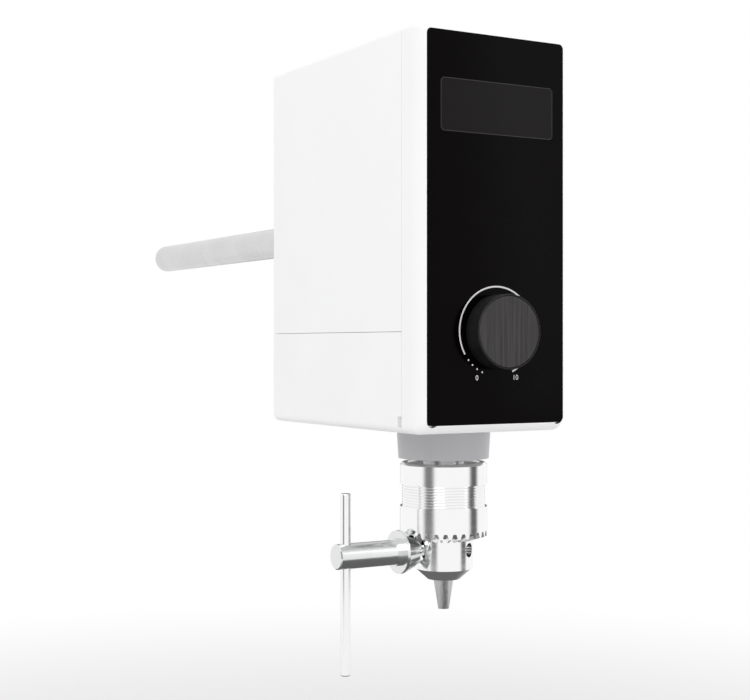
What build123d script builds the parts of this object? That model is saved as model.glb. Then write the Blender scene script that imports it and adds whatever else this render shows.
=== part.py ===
from build123d import *
import os
from math import acos, atan, cos, degrees, pi, radians, sin, sqrt, tan

# Overhead stirrer: a geared motor in a box housing on a support rod, driving a
# three-jaw keyed chuck. Millimetres, +Z up. The origin is on the support rod's
# axis, where the rod leaves its socket, and +Y runs along the rod, away from
# the housing, so the front panel faces -Y.

# Housing mouldings
housing_width = 83.0
housing_height = 188.2
housing_depth = 155.8
rod_height = 103.2  # rod axis above the base of the housing
cover_depth = 17.4  # front cover, back to the parting line
lower_height = 47.4  # lower housing, base to the seam
wall = 2.6
floor_thickness = 3.0
joint_gap = 0.2  # line that shows between two mouldings
tongue_depth = 3.0
tongue_thickness = 1.2
tongue_clearance = 0.15
top_edge_radius = 2.0
bottom_edge_radius = 4.0
rear_edge_radius = 4.5
crown_radius = 15.0  # bulge of the front cover's sides towards the panel
crown_depth = 9.0
smallest_corner = 0.6
boss_radius = 4.0
boss_overlap = 0.5
boss_depth = 12.0

# Front panel with its display window
panel_side_border = 3.0
panel_top_border = 2.8
panel_bottom_border = 4.35
panel_rim = 0.3
panel_gap = 0.1
panel_thickness = 2.0
panel_corner_radius = 2.4
seat_thickness = 2.4
window_width = 62.9
window_height = 24.2
window_offset = 0.55
window_height_above_rod = 48.3
window_thickness = 1.2
window_corner_radius = 2.5
window_gap = 0.05
window_ledge = 2.0

# Display and its board
display_margin = 1.5
display_depth = 8.0
display_board_width = 72.0
display_board_height = 36.0
board_thickness = 1.6
board_screw_inset = 3.5
small_boss_radius = 2.8

# Speed knob and potentiometer
knob_below_rod = 55.9
knob_radius = 17.5
knob_stand = 10.5  # front of the knob above the panel
knob_lift = 0.6
knob_wall = 2.0
knob_cap_thickness = 1.2
knob_cap_rim = 0.7
knob_cavity_depth = 5.0
knob_hub_radius = 6.0
knob_edge_radius = 0.6
pot_shaft_radius = 3.0
pot_shaft_flat = 2.2
pot_bushing_radius = 3.5
pot_bushing_length = 7.0
pot_radius = 8.0
pot_depth = 9.0
pot_nut_radius = 5.2
pot_nut_thickness = 1.8
pot_panel_hole_radius = 7.0
running_clearance = 0.04
fit_clearance = 0.05
seat_clearance = 0.1

# Support rod and its socket in the back
rod_radius = 9.0
rod_length = 248.7
rod_end_radius = 2.5
socket_proud = 10.0
socket_neck_radius = 16.0
socket_flange_radius = 25.0
socket_flange_thickness = 5.0
socket_edge_chamfer = 1.0
spigot_radius = 6.0
nut_thickness = 7.0
nut_across_corners = 20.8
washer_radius = 11.0
washer_thickness = 1.6
spigot_tail = 3.0

# Chassis frame
plate_thickness = 6.0
plate_drop = 3.0  # underside of the plate below the seam
plate_side_gap = 0.55
upright_thickness = 5.0
upright_width = 70.0
upright_top = 28.0
gusset_reach = 26.0
gusset_thickness = 4.0
gusset_height = 60.0
frame_gap = 0.3
post_x = 31.0
front_post_from_spindle = 21.0
rear_post_from_back = 16.0
screw_radius = 1.5
screw_head_radius = 2.9
screw_head_height = 1.5
screw_clearance = 0.2
screw_grip = 10.0

# Spindle, its bearings and the collar under the housing
spindle_from_front = 46.0
spindle_radius = 6.0
bearing_radius = 14.0
bearing_width = 8.0
bearing_ring = 2.6
bearing_groove = 0.5
bearing_boss_wall = 4.0
collar_top_radius = 23.2
collar_bottom_radius = 22.35
collar_height = 14.4
collar_flange_radius = 32.0
collar_flange_thickness = 4.0
collar_ring_height = 4.0
collar_lip = 5.0
collar_screw_radius = 27.5
seal_radius = 11.0
seal_thickness = 3.6
spindle_collar_radius = 7.5
spindle_flange_radius = 10.0
spindle_top_stand = 4.5
circlip_thickness = 1.0
circlip_depth = 0.8
hub_radius = 10.0
hub_bottom_extra = 3.0
spacer_wall = 2.0

# Reduction gears
gear_module = 1.0
gear_teeth = 56
pinion_teeth = 16
gear_face = 10.0
gear_web = 4.0
gear_rim = 3.5
gear_drop = 2.0  # top of the gear below the bearing boss
gear_backlash = 0.16
pressure_angle = 20.0
pinion_extra = 0.5

# Motor
motor_radius = 29.0
motor_height = 62.0
motor_shell = 2.0
motor_end_thickness = 5.0
motor_pilot_radius = 11.0
motor_pilot_height = 2.5
motor_shaft_radius = 4.0
motor_bearing_radius = 8.0
motor_screw_circle = 20.0
stator_bore = 17.0
stator_height = 32.0
stator_slots = 9
stator_slot_width = 5.0
stator_slot_depth = 6.0
rotor_gap = 0.6

# Control board on the side wall
control_board_length = 84.0
control_board_height = 50.0
control_board_bottom = 22.0
control_board_front = 12.0  # behind the parting line
standoff_height = 6.0
capacitor_radius = 7.0
capacitor_length = 20.0
sink_fins = 6
sink_height = 16.0
sink_length = 40.0
sink_fin_thickness = 1.4
sink_width = 20.0
sink_base = 3.0

# Back wall: switch, power jack and cooling slots
rear_row_above_rod = 48.0
rear_row_spacing = 36.0
switch_width = 13.0
switch_height = 19.2
switch_depth = 14.0
switch_flange = 1.2
switch_flange_thickness = 1.6
switch_wall = 1.3
rocker_clearance = 0.25
rocker_tilt = 10.0
rocker_pin_radius = 1.2
rocker_pivot_depth = 2.6
rocker_crest = 3.6
rocker_dish = 1.4
jack_radius = 4.0
jack_flange_radius = 6.0
jack_flange_thickness = 1.5
jack_length = 14.0
jack_bore_radius = 3.1
jack_bore_depth = 9.5
jack_pin_radius = 1.05
jack_nut_radius = 6.6
jack_nut_thickness = 2.2
slot_count = 5
slot_length = 40.0
slot_width = 2.4
slot_pitch = 5.6
slot_top_below_rod = 22.0
rear_screw_x = 30.0
rear_screw_high = 22.0
rear_screw_low = 45.0

# Keyed chuck
chuck_gap = 2.0  # collar to chuck
chuck_height = 57.7
sleeve_radius = 21.5
sleeve_chamfer = 1.2
sleeve_wall = 3.6
grip_top = 10.7
grip_bottom = 21.6
grip_recess = 1.0
grip_rings = 8
grip_ring_depth = 0.4
body_radius = 14.25
nose_height = 5.3
nose_radius = 8.15
chuck_capacity = 10.0
chuck_bore_clearance = 0.2
chuck_bore_depth = 24.3
chuck_thread_radius = 4.75
chuck_thread_length = 15.5
body_top_drop = 0.4
core_radius = 8.6
nut_height = 7.0
nut_from_top = 25.6
nut_gap = 0.3
jaw_radius = 3.5
jaw_angle = 10.5
jaw_reach = 14.9  # closed jaws below the nose
jaw_tip_offset = -1.0  # jaw axis at the tips of the closed jaws
jaw_meeting_gap = 0.12
jaw_end_gap = 0.5
jaw_thread_lead = 2.5  # slide along the jaw for one turn of the sleeve

# Chuck key
key_drop = 42.9  # key axis below the top of the chuck
key_hole_radius = 3.5
key_hole_bottom = 7.5
key_pilot_end = 8.0
sleeve_teeth = 30
key_teeth = 11
bevel_addendum = 0.75
bevel_dedendum = 0.95
bevel_backlash = 0.5
key_pinion_start = 15.1
key_flange_at = 25.4
key_flange_radius = 10.5
key_flange_thickness = 1.4
key_ring_radius = 6.75
key_ring_length = 2.2
key_shaft_radius = 6.05
key_end = 60.6
key_bar_at = 55.35
key_bar_radius = 2.6
key_bar_length = 86.6
key_bar_above = 29.9

# Planes and heights that several pieces share
rear_y = -socket_proud
front_y = rear_y - housing_depth
part_y = front_y + cover_depth
seat_y = front_y + panel_thickness
base_z = -rod_height
top_z = base_z + housing_height
seam_z = base_z + lower_height
floor_z = base_z + floor_thickness
half_width = housing_width / 2
inner_half = half_width - wall
inner_top = top_z - wall
inner_rear = rear_y - wall
tongue_inset = tongue_clearance + tongue_thickness
spindle_y = front_y + spindle_from_front
gear_distance = gear_module * (gear_teeth + pinion_teeth) / 2
motor_y = spindle_y + gear_distance
plate_bottom = seam_z - plate_drop
plate_top = plate_bottom + plate_thickness
bearing_boss_bottom = plate_bottom - bearing_width - 1.0
collar_bottom = base_z - collar_height
gear_top = bearing_boss_bottom - gear_drop
gear_bottom = gear_top - gear_face
chuck_top = collar_bottom - chuck_gap
nose_bottom = chuck_top - chuck_height
key_z = chuck_top - key_drop
knob_z = -knob_below_rod
window_z = window_height_above_rod
panel_width = housing_width - 2 * panel_side_border
panel_height = housing_height - panel_top_border - panel_bottom_border
panel_z = (top_z - panel_top_border + base_z + panel_bottom_border) / 2
boss_x = inner_half - boss_radius + boss_overlap
upper_boss_z = inner_top - boss_radius + boss_overlap
lower_boss_z = floor_z + boss_radius - boss_overlap

low = (Align.CENTER, Align.CENTER, Align.MIN)
high = (Align.CENTER, Align.CENTER, Align.MAX)
spindle_section = Plane(origin=(0, spindle_y, 0), x_dir=(1, 0, 0), z_dir=(0, -1, 0))
spindle_axis = Axis((0, spindle_y, 0), (0, 0, 1))
motor_section = Plane(origin=(0, motor_y, 0), x_dir=(1, 0, 0), z_dir=(0, -1, 0))
motor_axis = Axis((0, motor_y, 0), (0, 0, 1))
key_section = Plane(origin=(0, spindle_y, key_z), x_dir=(-1, 0, 0), z_dir=(0, 1, 0))
key_axis = Axis((0, spindle_y, key_z), (-1, 0, 0))
knob_section = Plane(origin=(0, front_y, knob_z), x_dir=(1, 0, 0), z_dir=(0, 0, 1))
knob_axis = Axis((0, front_y, knob_z), (0, 1, 0))


def facing(y):
    """Plane across the depth of the object at y, seen from the front."""
    return Plane.XZ.offset(-y)


def block(x_range, y_range, z_range, mode=Mode.ADD):
    """Box between limits on each axis, in the part that is being built."""
    middle = [(limits[0] + limits[1]) / 2 for limits in (x_range, y_range, z_range)]
    sizes = [limits[1] - limits[0] for limits in (x_range, y_range, z_range)]
    with Locations(tuple(middle)):
        Box(*sizes, mode=mode)


def turned(section, axis, points, mode=Mode.ADD):
    """Solid of revolution from (radius, height) points on a section plane."""
    with BuildSketch(section) as profile:
        with BuildLine():
            Polyline(*points, close=True)
        make_face()
    revolve(profile.sketch, axis=axis, mode=mode)


def screws(planes, head_radius, head_height, shank_radius, length):
    """Screws whose heads stand on the given planes, each with a hexagon socket."""
    with Locations(*planes):
        Cylinder(head_radius, head_height, align=low)
        Cylinder(shank_radius, length, align=high)
    socket_depth = 0.6 * head_height
    for plane in planes:
        with BuildSketch(plane.offset(head_height - socket_depth)) as socket:
            RegularPolygon(0.5 * head_radius, 6)
        extrude(socket.sketch, amount=2 * socket_depth, mode=Mode.SUBTRACT)


def toward_front(x, y, z):
    """Plane at a point, facing out of the front."""
    return Plane(origin=(x, y, z), x_dir=(1, 0, 0), z_dir=(0, -1, 0))


def toward_back(x, y, z):
    """Plane at a point, facing out of the back."""
    return Plane(origin=(x, y, z), x_dir=(-1, 0, 0), z_dir=(0, 1, 0))


def downward(x, y, z):
    """Plane at a point, facing down."""
    return Plane(origin=(x, y, z), x_dir=(1, 0, 0), z_dir=(0, 0, -1))


def upward(x, y, z):
    """Plane at a point, facing up."""
    return Plane(origin=(x, y, z), x_dir=(1, 0, 0), z_dir=(0, 0, 1))


def save(builder, name):
    """Label a finished piece and write it."""
    builder.part.label = name
    export_step(builder.part, f"parts/{name}.step")


os.makedirs("parts", exist_ok=True)

# Front border of the cover: its sides curve in from the full outline to a thin rim
# around the panel, and the back edges are rounded over.
rim_width = panel_rim + panel_gap


def outline(y, side, top, bottom, inset):
    """Housing outline at depth y, drawn in from its sides, top and bottom."""
    upper_radius = max(smallest_corner, top_edge_radius - inset)
    lower_radius = max(smallest_corner, bottom_edge_radius - inset)
    width = housing_width - 2 * side
    height = housing_height - top - bottom
    with BuildSketch(facing(y)) as section:
        with Locations((0, (top_z - top + base_z + bottom) / 2)):
            Rectangle(width, height)
        fillet(section.vertices().group_by(Axis.Y)[-1], upper_radius)
        fillet(section.vertices().group_by(Axis.Y)[0], lower_radius)
    return section.sketch


crown_steps = 4
rear_steps = 4
crown_drop = crown_radius - sqrt(crown_radius**2 - crown_depth**2)
crown_sections = []
for step in range(crown_steps + 1):
    back = crown_depth * step / crown_steps
    share = (crown_radius - sqrt(crown_radius**2 - (crown_depth - back) ** 2)) / crown_drop
    crown_sections.append(
        outline(
            front_y + back,
            share * (panel_side_border - rim_width),
            share * (panel_top_border - rim_width),
            share * (panel_bottom_border - rim_width),
            0,
        )
    )
rear_sections = []
for step in range(rear_steps + 1):
    angle = radians(90 * step / rear_steps)
    inset = rear_edge_radius * (1 - cos(angle))
    depth = rear_y - rear_edge_radius * (1 - sin(angle))
    rear_sections.append(outline(depth, inset, inset, inset, inset))

with BuildPart() as housing_form:
    loft(crown_sections)
    extrude(crown_sections[-1], amount=-(housing_depth - crown_depth - rear_edge_radius))
    loft(rear_sections)


# Mouldings. The cover and the upper housing carry a tongue that reaches inside the
# piece they meet.
with BuildPart() as front_cover:
    add(housing_form.part)
    block((-half_width - 1, half_width + 1), (front_y - 1, part_y - joint_gap / 2),
          (base_z - 1, top_z + 1), mode=Mode.INTERSECT)
    with BuildSketch(facing(part_y + tongue_depth)):
        with Locations((0, (inner_top + floor_z) / 2)):
            Rectangle(
                2 * (inner_half - tongue_clearance),
                inner_top - floor_z - 2 * tongue_clearance,
            )
    extrude(amount=tongue_depth + joint_gap)
    block((-inner_half + tongue_inset, inner_half - tongue_inset),
          (seat_y + seat_thickness, part_y + tongue_depth + 1),
          (floor_z + tongue_inset, inner_top - tongue_inset), mode=Mode.SUBTRACT)
    with BuildSketch(facing(front_y)):
        with Locations((0, panel_z)):
            RectangleRounded(
                panel_width + 2 * panel_gap,
                panel_height + 2 * panel_gap,
                panel_corner_radius + panel_gap,
            )
    extrude(amount=-panel_thickness, mode=Mode.SUBTRACT)
    for x in (-boss_x, boss_x):
        for z in (lower_boss_z, upper_boss_z):
            with BuildSketch(facing(part_y - joint_gap / 2)) as boss:
                with Locations((x, z)):
                    Circle(boss_radius)
            extrude(amount=part_y - joint_gap / 2 - seat_y - seat_thickness)
            block((x - boss_radius - 0.2, x + boss_radius + 0.2), (part_y, part_y + tongue_depth + 1),
                  (z - boss_radius - 0.2, z + boss_radius + 0.2), mode=Mode.SUBTRACT)
            with Locations(toward_front(x, seat_y, z)):
                CounterBoreHole(
                    screw_radius + screw_clearance,
                    screw_head_radius + screw_clearance,
                    screw_head_height + seat_clearance,
                )
    block((window_offset - window_width / 2 + window_ledge - display_margin / 2,
           window_offset + window_width / 2 - window_ledge + display_margin / 2),
          (seat_y - 1, seat_y + seat_thickness + 1),
          (window_z - window_height / 2 + window_ledge - display_margin / 2,
           window_z + window_height / 2 - window_ledge + display_margin / 2), mode=Mode.SUBTRACT)
    with Locations(toward_front(0, seat_y, knob_z)):
        Hole(pot_bushing_radius + seat_clearance, depth=seat_thickness + 1)

display_half_width = window_width / 2 - window_ledge
display_half_height = window_height / 2 - window_ledge
display_back = seat_y + seat_clearance + display_depth
board_screw_x = display_board_width / 2 - board_screw_inset
board_screw_z = display_board_height / 2 - board_screw_inset
display_screw_spots = [
    (x, window_z + z) for x in (-board_screw_x, board_screw_x) for z in (-board_screw_z, board_screw_z)
]
with front_cover:
    for x, z in display_screw_spots:
        with BuildSketch(facing(display_back)):
            with Locations((x, z)):
                Circle(small_boss_radius)
                Circle(1.1, mode=Mode.SUBTRACT)
        extrude(amount=display_back - seat_y - seat_thickness)
save(front_cover, "front_cover")
print("front_cover")

chassis_side = inner_half - tongue_inset - plate_side_gap
upright_back = inner_rear - tongue_inset - frame_gap
upright_front = upright_back - upright_thickness
front_post_y = spindle_y - front_post_from_spindle
rear_post_y = rear_y - rear_post_from_back
post_spots = [(x, y) for x in (-post_x, post_x) for y in (front_post_y, rear_post_y)]
rear_screw_spots = [
    (x, z) for x in (-rear_screw_x, rear_screw_x) for z in (-rear_screw_low, rear_screw_high)
]
switch_x = -rear_row_spacing / 2
jack_x = rear_row_spacing / 2
control_board_y = (part_y + control_board_front, part_y + control_board_front + control_board_length)
control_board_z = (control_board_bottom, control_board_bottom + control_board_height)
control_board_x = -inner_half + standoff_height
control_screw_spots = [
    (y, z)
    for y in (control_board_y[0] + board_screw_inset, control_board_y[1] - board_screw_inset)
    for z in (control_board_z[0] + board_screw_inset, control_board_z[1] - board_screw_inset)
]

with BuildPart() as upper_housing:
    add(housing_form.part)
    block((-half_width - 1, half_width + 1), (part_y + joint_gap / 2, rear_y + 1),
          (seam_z + joint_gap / 2, top_z + 1), mode=Mode.INTERSECT)
    block((-inner_half, inner_half), (part_y - 1, inner_rear), (seam_z - 1, inner_top),
          mode=Mode.SUBTRACT)
    tongue_front = part_y + tongue_depth + 1
    with BuildSketch(Plane.XY.offset(seam_z - tongue_depth)):
        with Locations((0, (tongue_front + inner_rear - tongue_clearance) / 2)):
            Rectangle(
                2 * (inner_half - tongue_clearance),
                inner_rear - tongue_clearance - tongue_front,
            )
        with Locations((0, (tongue_front - 1 + inner_rear - tongue_inset) / 2)):
            Rectangle(
                2 * (inner_half - tongue_inset),
                inner_rear - tongue_inset - tongue_front + 1,
                mode=Mode.SUBTRACT,
            )
    extrude(amount=2 * tongue_depth)
    for side in (-1, 1):
        block(sorted((side * (inner_half - tongue_inset), side * (inner_half + 0.5))),
              (tongue_front, inner_rear), (seam_z + joint_gap / 2, seam_z + tongue_depth))
    block((-inner_half, inner_half), (inner_rear - tongue_inset, inner_rear + 0.5),
          (seam_z + joint_gap / 2, seam_z + tongue_depth))
    for x in (-boss_x, boss_x):
        with BuildSketch(facing(part_y + joint_gap / 2)):
            with Locations((x, upper_boss_z)):
                Circle(boss_radius)
        extrude(amount=-boss_depth)
        with Locations(toward_front(x, part_y, upper_boss_z)):
            Hole(screw_radius + fit_clearance, depth=boss_depth)
    for y, z in control_screw_spots:
        with BuildSketch(Plane.YZ.offset(control_board_x)):
            with Locations((y, z)):
                Circle(small_boss_radius)
                Circle(1.1, mode=Mode.SUBTRACT)
        extrude(amount=-standoff_height)
    with Locations(toward_back(0, rear_y, 0)):
        Hole(socket_neck_radius + screw_clearance, depth=wall + 1)
    with Locations(toward_back(jack_x, rear_y, rear_row_above_rod)):
        Hole(jack_radius + seat_clearance, depth=wall + 1)
    with BuildSketch(facing(rear_y + 1)):
        with Locations((switch_x, rear_row_above_rod)):
            Rectangle(switch_width + 2 * seat_clearance, switch_height + 2 * seat_clearance)
    extrude(amount=wall + 2, mode=Mode.SUBTRACT)
    for x, z in rear_screw_spots:
        with Locations(toward_back(x, rear_y, z)):
            Hole(screw_radius + screw_clearance, depth=wall + 1)
    with BuildSketch(facing(rear_y + 1)):
        for slot in range(slot_count):
            with Locations((0, -slot_top_below_rod - slot * slot_pitch)):
                SlotOverall(slot_length, slot_width)
    extrude(amount=wall + 2, mode=Mode.SUBTRACT)
save(upper_housing, "upper_housing")

flange_bottom = floor_z + collar_ring_height
collar_screw_planes = [
    upward(
        collar_screw_radius * cos(radians(45 + 90 * k)),
        spindle_y + collar_screw_radius * sin(radians(45 + 90 * k)),
        flange_bottom + collar_flange_thickness,
    )
    for k in range(4)
]
base_screw_seat = base_z + floor_thickness + 1

with BuildPart() as lower_housing:
    add(housing_form.part)
    block((-half_width - 1, half_width + 1), (part_y + joint_gap / 2, rear_y + 1),
          (base_z - 1, seam_z - joint_gap / 2), mode=Mode.INTERSECT)
    block((-inner_half, inner_half), (part_y - 1, inner_rear), (floor_z, seam_z + 1),
          mode=Mode.SUBTRACT)
    with BuildSketch(Plane.XY.offset(floor_z)):
        with Locations((0, spindle_y)):
            Circle(collar_flange_radius)
    extrude(amount=collar_ring_height)
    block((-half_width, half_width), (front_y, part_y + tongue_depth + 0.5),
          (floor_z, flange_bottom + 1), mode=Mode.SUBTRACT)
    for x, y in post_spots:
        with BuildSketch(Plane.XY.offset(floor_z)):
            with Locations((x, y)):
                Circle(boss_radius)
        extrude(amount=plate_bottom - floor_z)
    for x in (-boss_x, boss_x):
        with BuildSketch(facing(part_y + joint_gap / 2)):
            with Locations((x, lower_boss_z)):
                Circle(boss_radius)
        extrude(amount=-boss_depth)
        with Locations(toward_front(x, part_y, lower_boss_z)):
            Hole(screw_radius + fit_clearance, depth=boss_depth)
    for x, y in post_spots:
        with Locations(downward(x, y, base_z)):
            CounterBoreHole(
                screw_radius + screw_clearance,
                screw_head_radius + screw_clearance,
                base_screw_seat - base_z,
                depth=plate_bottom - base_z + 1,
            )
    with Locations(downward(0, spindle_y, base_z)):
        Hole(collar_top_radius + seat_clearance, depth=floor_thickness + collar_ring_height + 1)
    for plane in collar_screw_planes:
        with Locations(plane):
            Hole(screw_radius + fit_clearance, depth=collar_flange_thickness + collar_ring_height + 1.5)
save(lower_housing, "lower_housing")
print("housings")

# Front panel, window and display
with BuildPart() as front_panel:
    with BuildSketch(facing(seat_y)):
        with Locations((0, panel_z)):
            RectangleRounded(panel_width, panel_height, panel_corner_radius)
    extrude(amount=panel_thickness)
    with BuildSketch(facing(front_y)):
        with Locations((window_offset, window_z)):
            RectangleRounded(
                window_width + 2 * window_gap, window_height + 2 * window_gap, window_corner_radius
            )
    extrude(amount=-window_thickness, mode=Mode.SUBTRACT)
    with BuildSketch(facing(front_y)):
        with Locations((window_offset, window_z)):
            Rectangle(2 * display_half_width, 2 * display_half_height)
    extrude(amount=-panel_thickness, mode=Mode.SUBTRACT)
    with Locations(toward_front(0, front_y, knob_z)):
        Hole(pot_panel_hole_radius, depth=panel_thickness + 1)
save(front_panel, "front_panel")

with BuildPart() as display_window:
    with BuildSketch(facing(front_y + window_thickness)):
        with Locations((window_offset, window_z)):
            RectangleRounded(window_width, window_height, window_corner_radius - window_gap)
    extrude(amount=window_thickness)
save(display_window, "display_window")

with BuildPart() as display_module:
    with BuildSketch(facing(display_back)):
        with Locations((window_offset, window_z)):
            Rectangle(2 * display_half_width, 2 * display_half_height)
    extrude(amount=display_depth)
    digit_pitch = display_half_width / 2
    with BuildSketch(facing(display_back - display_depth)) as digits:
        with Locations((window_offset, window_z)):
            with GridLocations(digit_pitch, 1, 4, 1):
                Rectangle(digit_pitch * 0.6, display_half_height * 1.4)
    extrude(digits.sketch, amount=-0.5, mode=Mode.SUBTRACT)
save(display_module, "display_module")

with BuildPart() as display_board:
    with BuildSketch(facing(display_back + board_thickness)):
        with Locations((0, window_z)):
            RectangleRounded(display_board_width, display_board_height, 1.5)
        with Locations(*display_screw_spots):
            Circle(1.2, mode=Mode.SUBTRACT)
    extrude(amount=board_thickness)
save(display_board, "display_board")

with BuildPart() as display_screws:
    screws([toward_back(x, display_back + board_thickness, z) for x, z in display_screw_spots],
           2.0, 1.4, 1.05, 6.0)
save(display_screws, "display_screws")

with BuildPart() as cover_screws:
    screws([toward_front(x, seat_y + screw_head_height + seat_clearance, z)
            for x in (-boss_x, boss_x) for z in (lower_boss_z, upper_boss_z)],
           screw_head_radius, screw_head_height, screw_radius,
           part_y - seat_y - screw_head_height + screw_grip)
save(cover_screws, "cover_screws")

with BuildPart() as base_screws:
    screws([downward(x, y, base_screw_seat) for x, y in post_spots],
           screw_head_radius, screw_head_height, screw_radius, plate_bottom - base_screw_seat + 4.0)
save(base_screws, "base_screws")

with BuildPart() as rear_screws:
    screws([toward_back(x, rear_y, z) for x, z in rear_screw_spots],
           screw_head_radius, screw_head_height, screw_radius, wall + frame_gap + 4.0)
save(rear_screws, "rear_screws")

# Speed potentiometer and knob
pot_front = seat_y + seat_thickness
with BuildPart() as potentiometer:
    turned(knob_section, knob_axis, [
        (pot_shaft_radius + running_clearance, pot_front - pot_bushing_length - front_y),
        (pot_bushing_radius, pot_front - pot_bushing_length - front_y),
        (pot_bushing_radius, pot_front - front_y),
        (pot_radius, pot_front - front_y),
        (pot_radius, pot_front + pot_depth - front_y),
        (0, pot_front + pot_depth - front_y),
        (0, pot_front + pot_depth - 2 - front_y),
        (pot_shaft_radius + running_clearance, pot_front + pot_depth - 2 - front_y),
    ])
save(potentiometer, "potentiometer")

with BuildPart() as pot_nut:
    with BuildSketch(facing(seat_y)):
        with Locations((0, knob_z)):
            RegularPolygon(pot_nut_radius, 6)
            Circle(pot_bushing_radius + fit_clearance, mode=Mode.SUBTRACT)
    extrude(amount=pot_nut_thickness)
save(pot_nut, "pot_nut")

knob_front = front_y - knob_stand
knob_back = front_y - knob_lift
knob_bore_end = knob_front + knob_wall
with BuildPart() as pot_shaft:
    with BuildSketch(facing(pot_front + pot_depth - 2.5)):
        with Locations((0, knob_z)):
            Circle(pot_shaft_radius)
    extrude(amount=pot_front + pot_depth - 2.5 - knob_bore_end - seat_clearance)
    block((-pot_shaft_radius, pot_shaft_radius), (knob_bore_end - 1, knob_back - knob_cavity_depth / 2 + 0.4),
          (knob_z + pot_shaft_flat, knob_z + pot_shaft_radius + 1), mode=Mode.SUBTRACT)
save(pot_shaft, "pot_shaft")

with BuildPart() as knob_body:
    turned(knob_section, knob_axis, [
        (0, knob_front - front_y + knob_cap_thickness),
        (knob_radius - knob_cap_rim, knob_front - front_y + knob_cap_thickness),
        (knob_radius - knob_cap_rim, knob_front - front_y),
        (knob_radius - knob_edge_radius / 2, knob_front - front_y),
        (knob_radius, knob_front - front_y + knob_edge_radius / 2),
        (knob_radius, knob_back - front_y),
        (knob_radius - knob_wall, knob_back - front_y),
        (knob_radius - knob_wall, knob_back - front_y - knob_cavity_depth),
        (knob_hub_radius, knob_back - front_y - knob_cavity_depth),
        (knob_hub_radius, knob_back - front_y - knob_cavity_depth / 2),
        (0, knob_back - front_y - knob_cavity_depth / 2),
    ])
    with BuildSketch(facing(knob_back)) as bore:
        with Locations((0, knob_z)):
            Circle(pot_shaft_radius + fit_clearance)
            with Locations((0, pot_shaft_flat + fit_clearance + pot_shaft_radius)):
                Rectangle(4 * pot_shaft_radius, 2 * pot_shaft_radius, mode=Mode.SUBTRACT)
    extrude(bore.sketch, amount=knob_back - knob_bore_end, mode=Mode.SUBTRACT)
save(knob_body, "knob_body")

with BuildPart() as knob_cap:
    with BuildSketch(facing(knob_front + knob_cap_thickness)):
        with Locations((0, knob_z)):
            Circle(knob_radius - knob_cap_rim - fit_clearance)
    extrude(amount=knob_cap_thickness)
    chamfer(knob_cap.edges().group_by(Axis.Y)[0], 0.35)
save(knob_cap, "knob_cap")
print("front")

# Chassis frame: a plate across the seam that carries the motor and the upper bearing,
# and an upright that carries the rod socket
motor_screw_planes = [
    downward(
        motor_screw_circle * cos(radians(45 + 90 * k)),
        motor_y + motor_screw_circle * sin(radians(45 + 90 * k)),
        plate_bottom,
    )
    for k in range(4)
]
socket_screw_circle = (socket_neck_radius + socket_flange_radius) / 2
socket_screw_planes = [
    toward_front(
        socket_screw_circle * cos(radians(45 + 90 * k)),
        upright_front - socket_flange_thickness,
        socket_screw_circle * sin(radians(45 + 90 * k)),
    )
    for k in range(4)
]
with BuildPart() as chassis_frame:
    block((-chassis_side, chassis_side), (part_y + tongue_depth + 1, upright_back),
          (plate_bottom, plate_top))
    block((-upright_width / 2, upright_width / 2), (upright_front, upright_back),
          (plate_bottom, upright_top))
    for side in (-1, 1):
        inner_face = side * (upright_width / 2 - gusset_thickness)
        with BuildSketch(Plane.YZ.offset(min(inner_face, side * upright_width / 2))):
            with BuildLine():
                Polyline(
                    (upright_front - gusset_reach, plate_top),
                    (upright_front + 1, plate_top),
                    (upright_front + 1, plate_top + gusset_height),
                    close=True,
                )
            make_face()
        extrude(amount=gusset_thickness)
    turned(spindle_section, spindle_axis, [
        (0, plate_bottom + 1),
        (bearing_radius + bearing_boss_wall, plate_bottom + 1),
        (bearing_radius + bearing_boss_wall, bearing_boss_bottom),
        (0, bearing_boss_bottom),
    ])
    with Locations(downward(0, spindle_y, bearing_boss_bottom)):
        CounterBoreHole(
            bearing_radius - bearing_ring,
            bearing_radius + fit_clearance,
            bearing_width + 0.4,
            depth=plate_top - bearing_boss_bottom + 1,
        )
    with Locations(upward(0, motor_y, plate_top)):
        CounterBoreHole(
            motor_shaft_radius + 1,
            motor_pilot_radius + fit_clearance,
            motor_pilot_height + seat_clearance,
            depth=plate_thickness + 1,
        )
    for plane in motor_screw_planes:
        with Locations(plane):
            Hole(screw_radius + screw_clearance, depth=plate_thickness + 1)
    for x, y in post_spots:
        with Locations(downward(x, y, plate_bottom)):
            Hole(screw_radius + fit_clearance, depth=plate_thickness + 1)
    with Locations(toward_front(0, upright_front, 0)):
        Hole(socket_neck_radius + seat_clearance, depth=upright_thickness + 1)
    for plane in socket_screw_planes:
        with Locations(plane):
            Hole(screw_radius + fit_clearance, depth=upright_thickness + socket_flange_thickness + 1)
    for x, z in rear_screw_spots:
        with Locations(toward_back(x, upright_back, z)):
            Hole(screw_radius + fit_clearance, depth=upright_thickness + 1)
save(chassis_frame, "chassis_frame")

# Rod socket and support rod
rod_axis = Axis.Y
with BuildPart() as rod_socket:
    turned(Plane.XY, rod_axis, [
        (spigot_radius + fit_clearance, 0),
        (socket_neck_radius - socket_edge_chamfer, 0),
        (socket_neck_radius, -socket_edge_chamfer),
        (socket_neck_radius, upright_front),
        (socket_flange_radius, upright_front),
        (socket_flange_radius, upright_front - socket_flange_thickness),
        (spigot_radius + fit_clearance, upright_front - socket_flange_thickness),
    ])
    for plane in socket_screw_planes:
        with Locations(plane):
            Hole(screw_radius + screw_clearance, depth=socket_flange_thickness + 1)
save(rod_socket, "rod_socket")

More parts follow.
